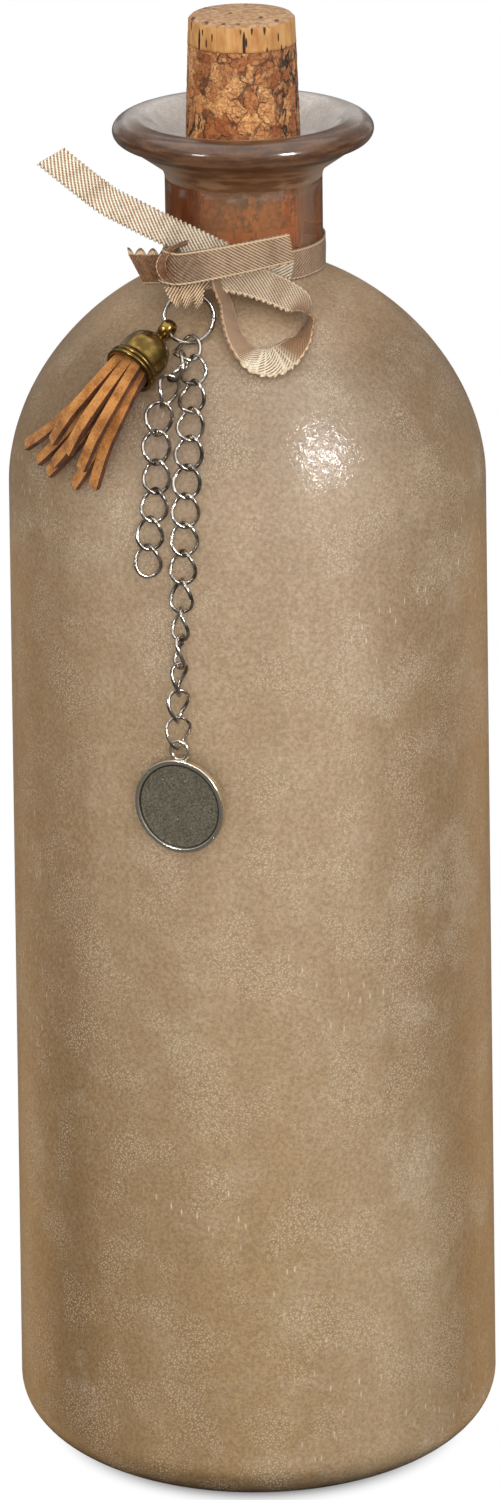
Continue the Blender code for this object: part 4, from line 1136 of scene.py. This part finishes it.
def dress_charm():
    half = CHARM_THICKNESS / 2
    floor_level = half - CHARM_RECESS
    rim_start = CHARM_RADIUS - CHARM_RIM
    outline = [(0, -half), (rim_start, -half)]
    edge_start = CHARM_RADIUS - CHARM_EDGE
    outline += quarter((edge_start, -half + CHARM_EDGE), CHARM_EDGE, CHARM_EDGE, -pi / 2, 0, 5)
    outline += quarter((edge_start, half - CHARM_EDGE), CHARM_EDGE, CHARM_EDGE, 0, pi / 2, 5)
    outline += [(rim_start + 0.0001, half), (rim_start, half - 0.00005),
                (rim_start - CHARM_RECESS * 0.7, floor_level + 0.00008),
                (rim_start - CHARM_RECESS, floor_level)]
    outline += [(rim_start * share, floor_level) for share in (0.85, 0.68, 0.5, 0.34, 0.17)]
    outline.append((0, floor_level))
    builder = turned(outline, 96)
    for vertex in builder.verts:
        if abs(vertex.co.z - floor_level) < CHARM_RECESS / 10:
            vertex.co.z += CHARM_DENTS * noise.noise(vertex.co * 700)
    placing = at_place(CHARM_MIDDLE - CHARM_UP * CHARM_DROP, CHARM_ACROSS, CHARM_UP, CHARM_FRONT)
    placed(builder, placing @ Matrix.Rotation(CHARM_LEAN, 4, "Y"))
    eye = ring_of_wire(CHARM_EYE, CHARM_ACROSS, CHARM_UP, CHARM_EYE_RADIUS, CHARM_EYE_WIRE)
    shown("charm_disc", joined(builder, eye), [pewter()], "charm", "old_pewter", "charm")


# Studio

def area_lamp(name, place, target, size, power, soft=True, shiny=True):
    lamp = bpy.data.lights.new(name, "AREA")
    lamp.shape = "RECTANGLE"
    lamp.size, lamp.size_y = size
    lamp.energy = power
    item = new_object(name, lamp)
    item.location = place
    item.rotation_euler = (Vector(target) - Vector(place)).to_track_quat("-Z", "Y").to_euler()
    item.visible_diffuse = soft
    item.visible_glossy = shiny


def make_floor():
    builder = bmesh.new()
    bmesh.ops.create_circle(builder, cap_ends=True, segments=64, radius=3.0)
    floor = new_object("studio_floor", new_mesh("studio_floor", builder))
    material, tree = new_material("white_floor", Roughness=0.9, Specular_IOR_Level=0.0)
    away = spread(distance_from(object_places(tree)), FLOOR_SHADED, FLOOR_WHITE)
    path = node(tree, "ShaderNodeLightPath").outputs
    finish(tree, Base_Color=mixed(path["Is Glossy Ray"], (0.9, 0.9, 0.9, 1), (0.16, 0.15, 0.14, 1)))
    glow = node(tree, "ShaderNodeEmission", {"Color": (1, 1, 1, 1), "Strength": 1.0}).outputs[0]
    shaders = {0: times(away, path["Is Camera Ray"]), 1: tree.nodes["Principled BSDF"].outputs[0], 2: glow}
    both = fed("ShaderNodeMixShader", shaders).outputs[0]
    tree.links.new(both, tree.nodes["Material Output"].inputs["Surface"])
    floor.data.materials.append(material)


def make_world():
    world = bpy.data.worlds.new("white_studio")
    bpy.context.scene.world = world
    world.use_nodes = True
    tree = world.node_tree
    way = node(tree, "ShaderNodeTexCoord").outputs["Generated"]
    z = split(way)[2]
    path = node(tree, "ShaderNodeLightPath").outputs
    panels = grain(way, 2.6, 1.0)
    mirrored = maths("ADD", spread(z, 0.0, 0.9, 0.07, 0.55), spread(panels, 0.50, 0.58, 0.0, 0.40))
    lift = fed("ShaderNodeMix", {0: path["Is Glossy Ray"], 2: 0.42, 3: mirrored}).outputs[0]
    soft = fed("ShaderNodeBackground", {"Color": (1, 1, 1, 1), "Strength": lift}).outputs[0]
    white = node(tree, "ShaderNodeBackground", {"Color": (1, 1, 1, 1), "Strength": 1.0}).outputs[0]
    both = fed("ShaderNodeMixShader", {0: path["Is Camera Ray"], 1: soft, 2: white}).outputs[0]
    tree.links.new(both, tree.nodes["World Output"].inputs["Surface"])


def make_camera():
    lens = bpy.data.cameras.new("photograph_view")
    lens.lens = VIEW_LENS
    lens.sensor_width = 36
    lens.clip_start = 0.05
    lens.clip_end = 20
    camera = new_object("photograph_view", lens)
    turn = Matrix.Rotation(radians(90 - VIEW_PITCH), 4, "X") @ Matrix.Rotation(VIEW_ROLL, 4, "Z")
    camera.matrix_world = Matrix.Translation(VIEW_PLACE) @ turn
    bpy.context.scene.camera = camera


dress_bottle()
dress_cork()
dress_ribbon()
dress_chain()
dress_cap()
dress_strips()
dress_charm()
make_floor()
make_world()
area_lamp("front_soft", (0.12, -1.45, 0.75), (0, 0, 0.15), (0.9, 1.1), 13.4, shiny=False)
area_lamp("key_right", (0.60, -0.68, 0.74), (0, 0, 0.22), (0.22, 0.34), 10.0, soft=False)
area_lamp("key_left", (-0.62, -0.70, 0.78), (0, 0, 0.24), (0.20, 0.24), 3.0, soft=False)
area_lamp("top_soft", (0.0, 0.0, 1.15), (0, 0, 0.25), (1.4, 1.4), 5.5)
make_camera()
bpy.context.scene.view_settings.view_transform = "Standard"
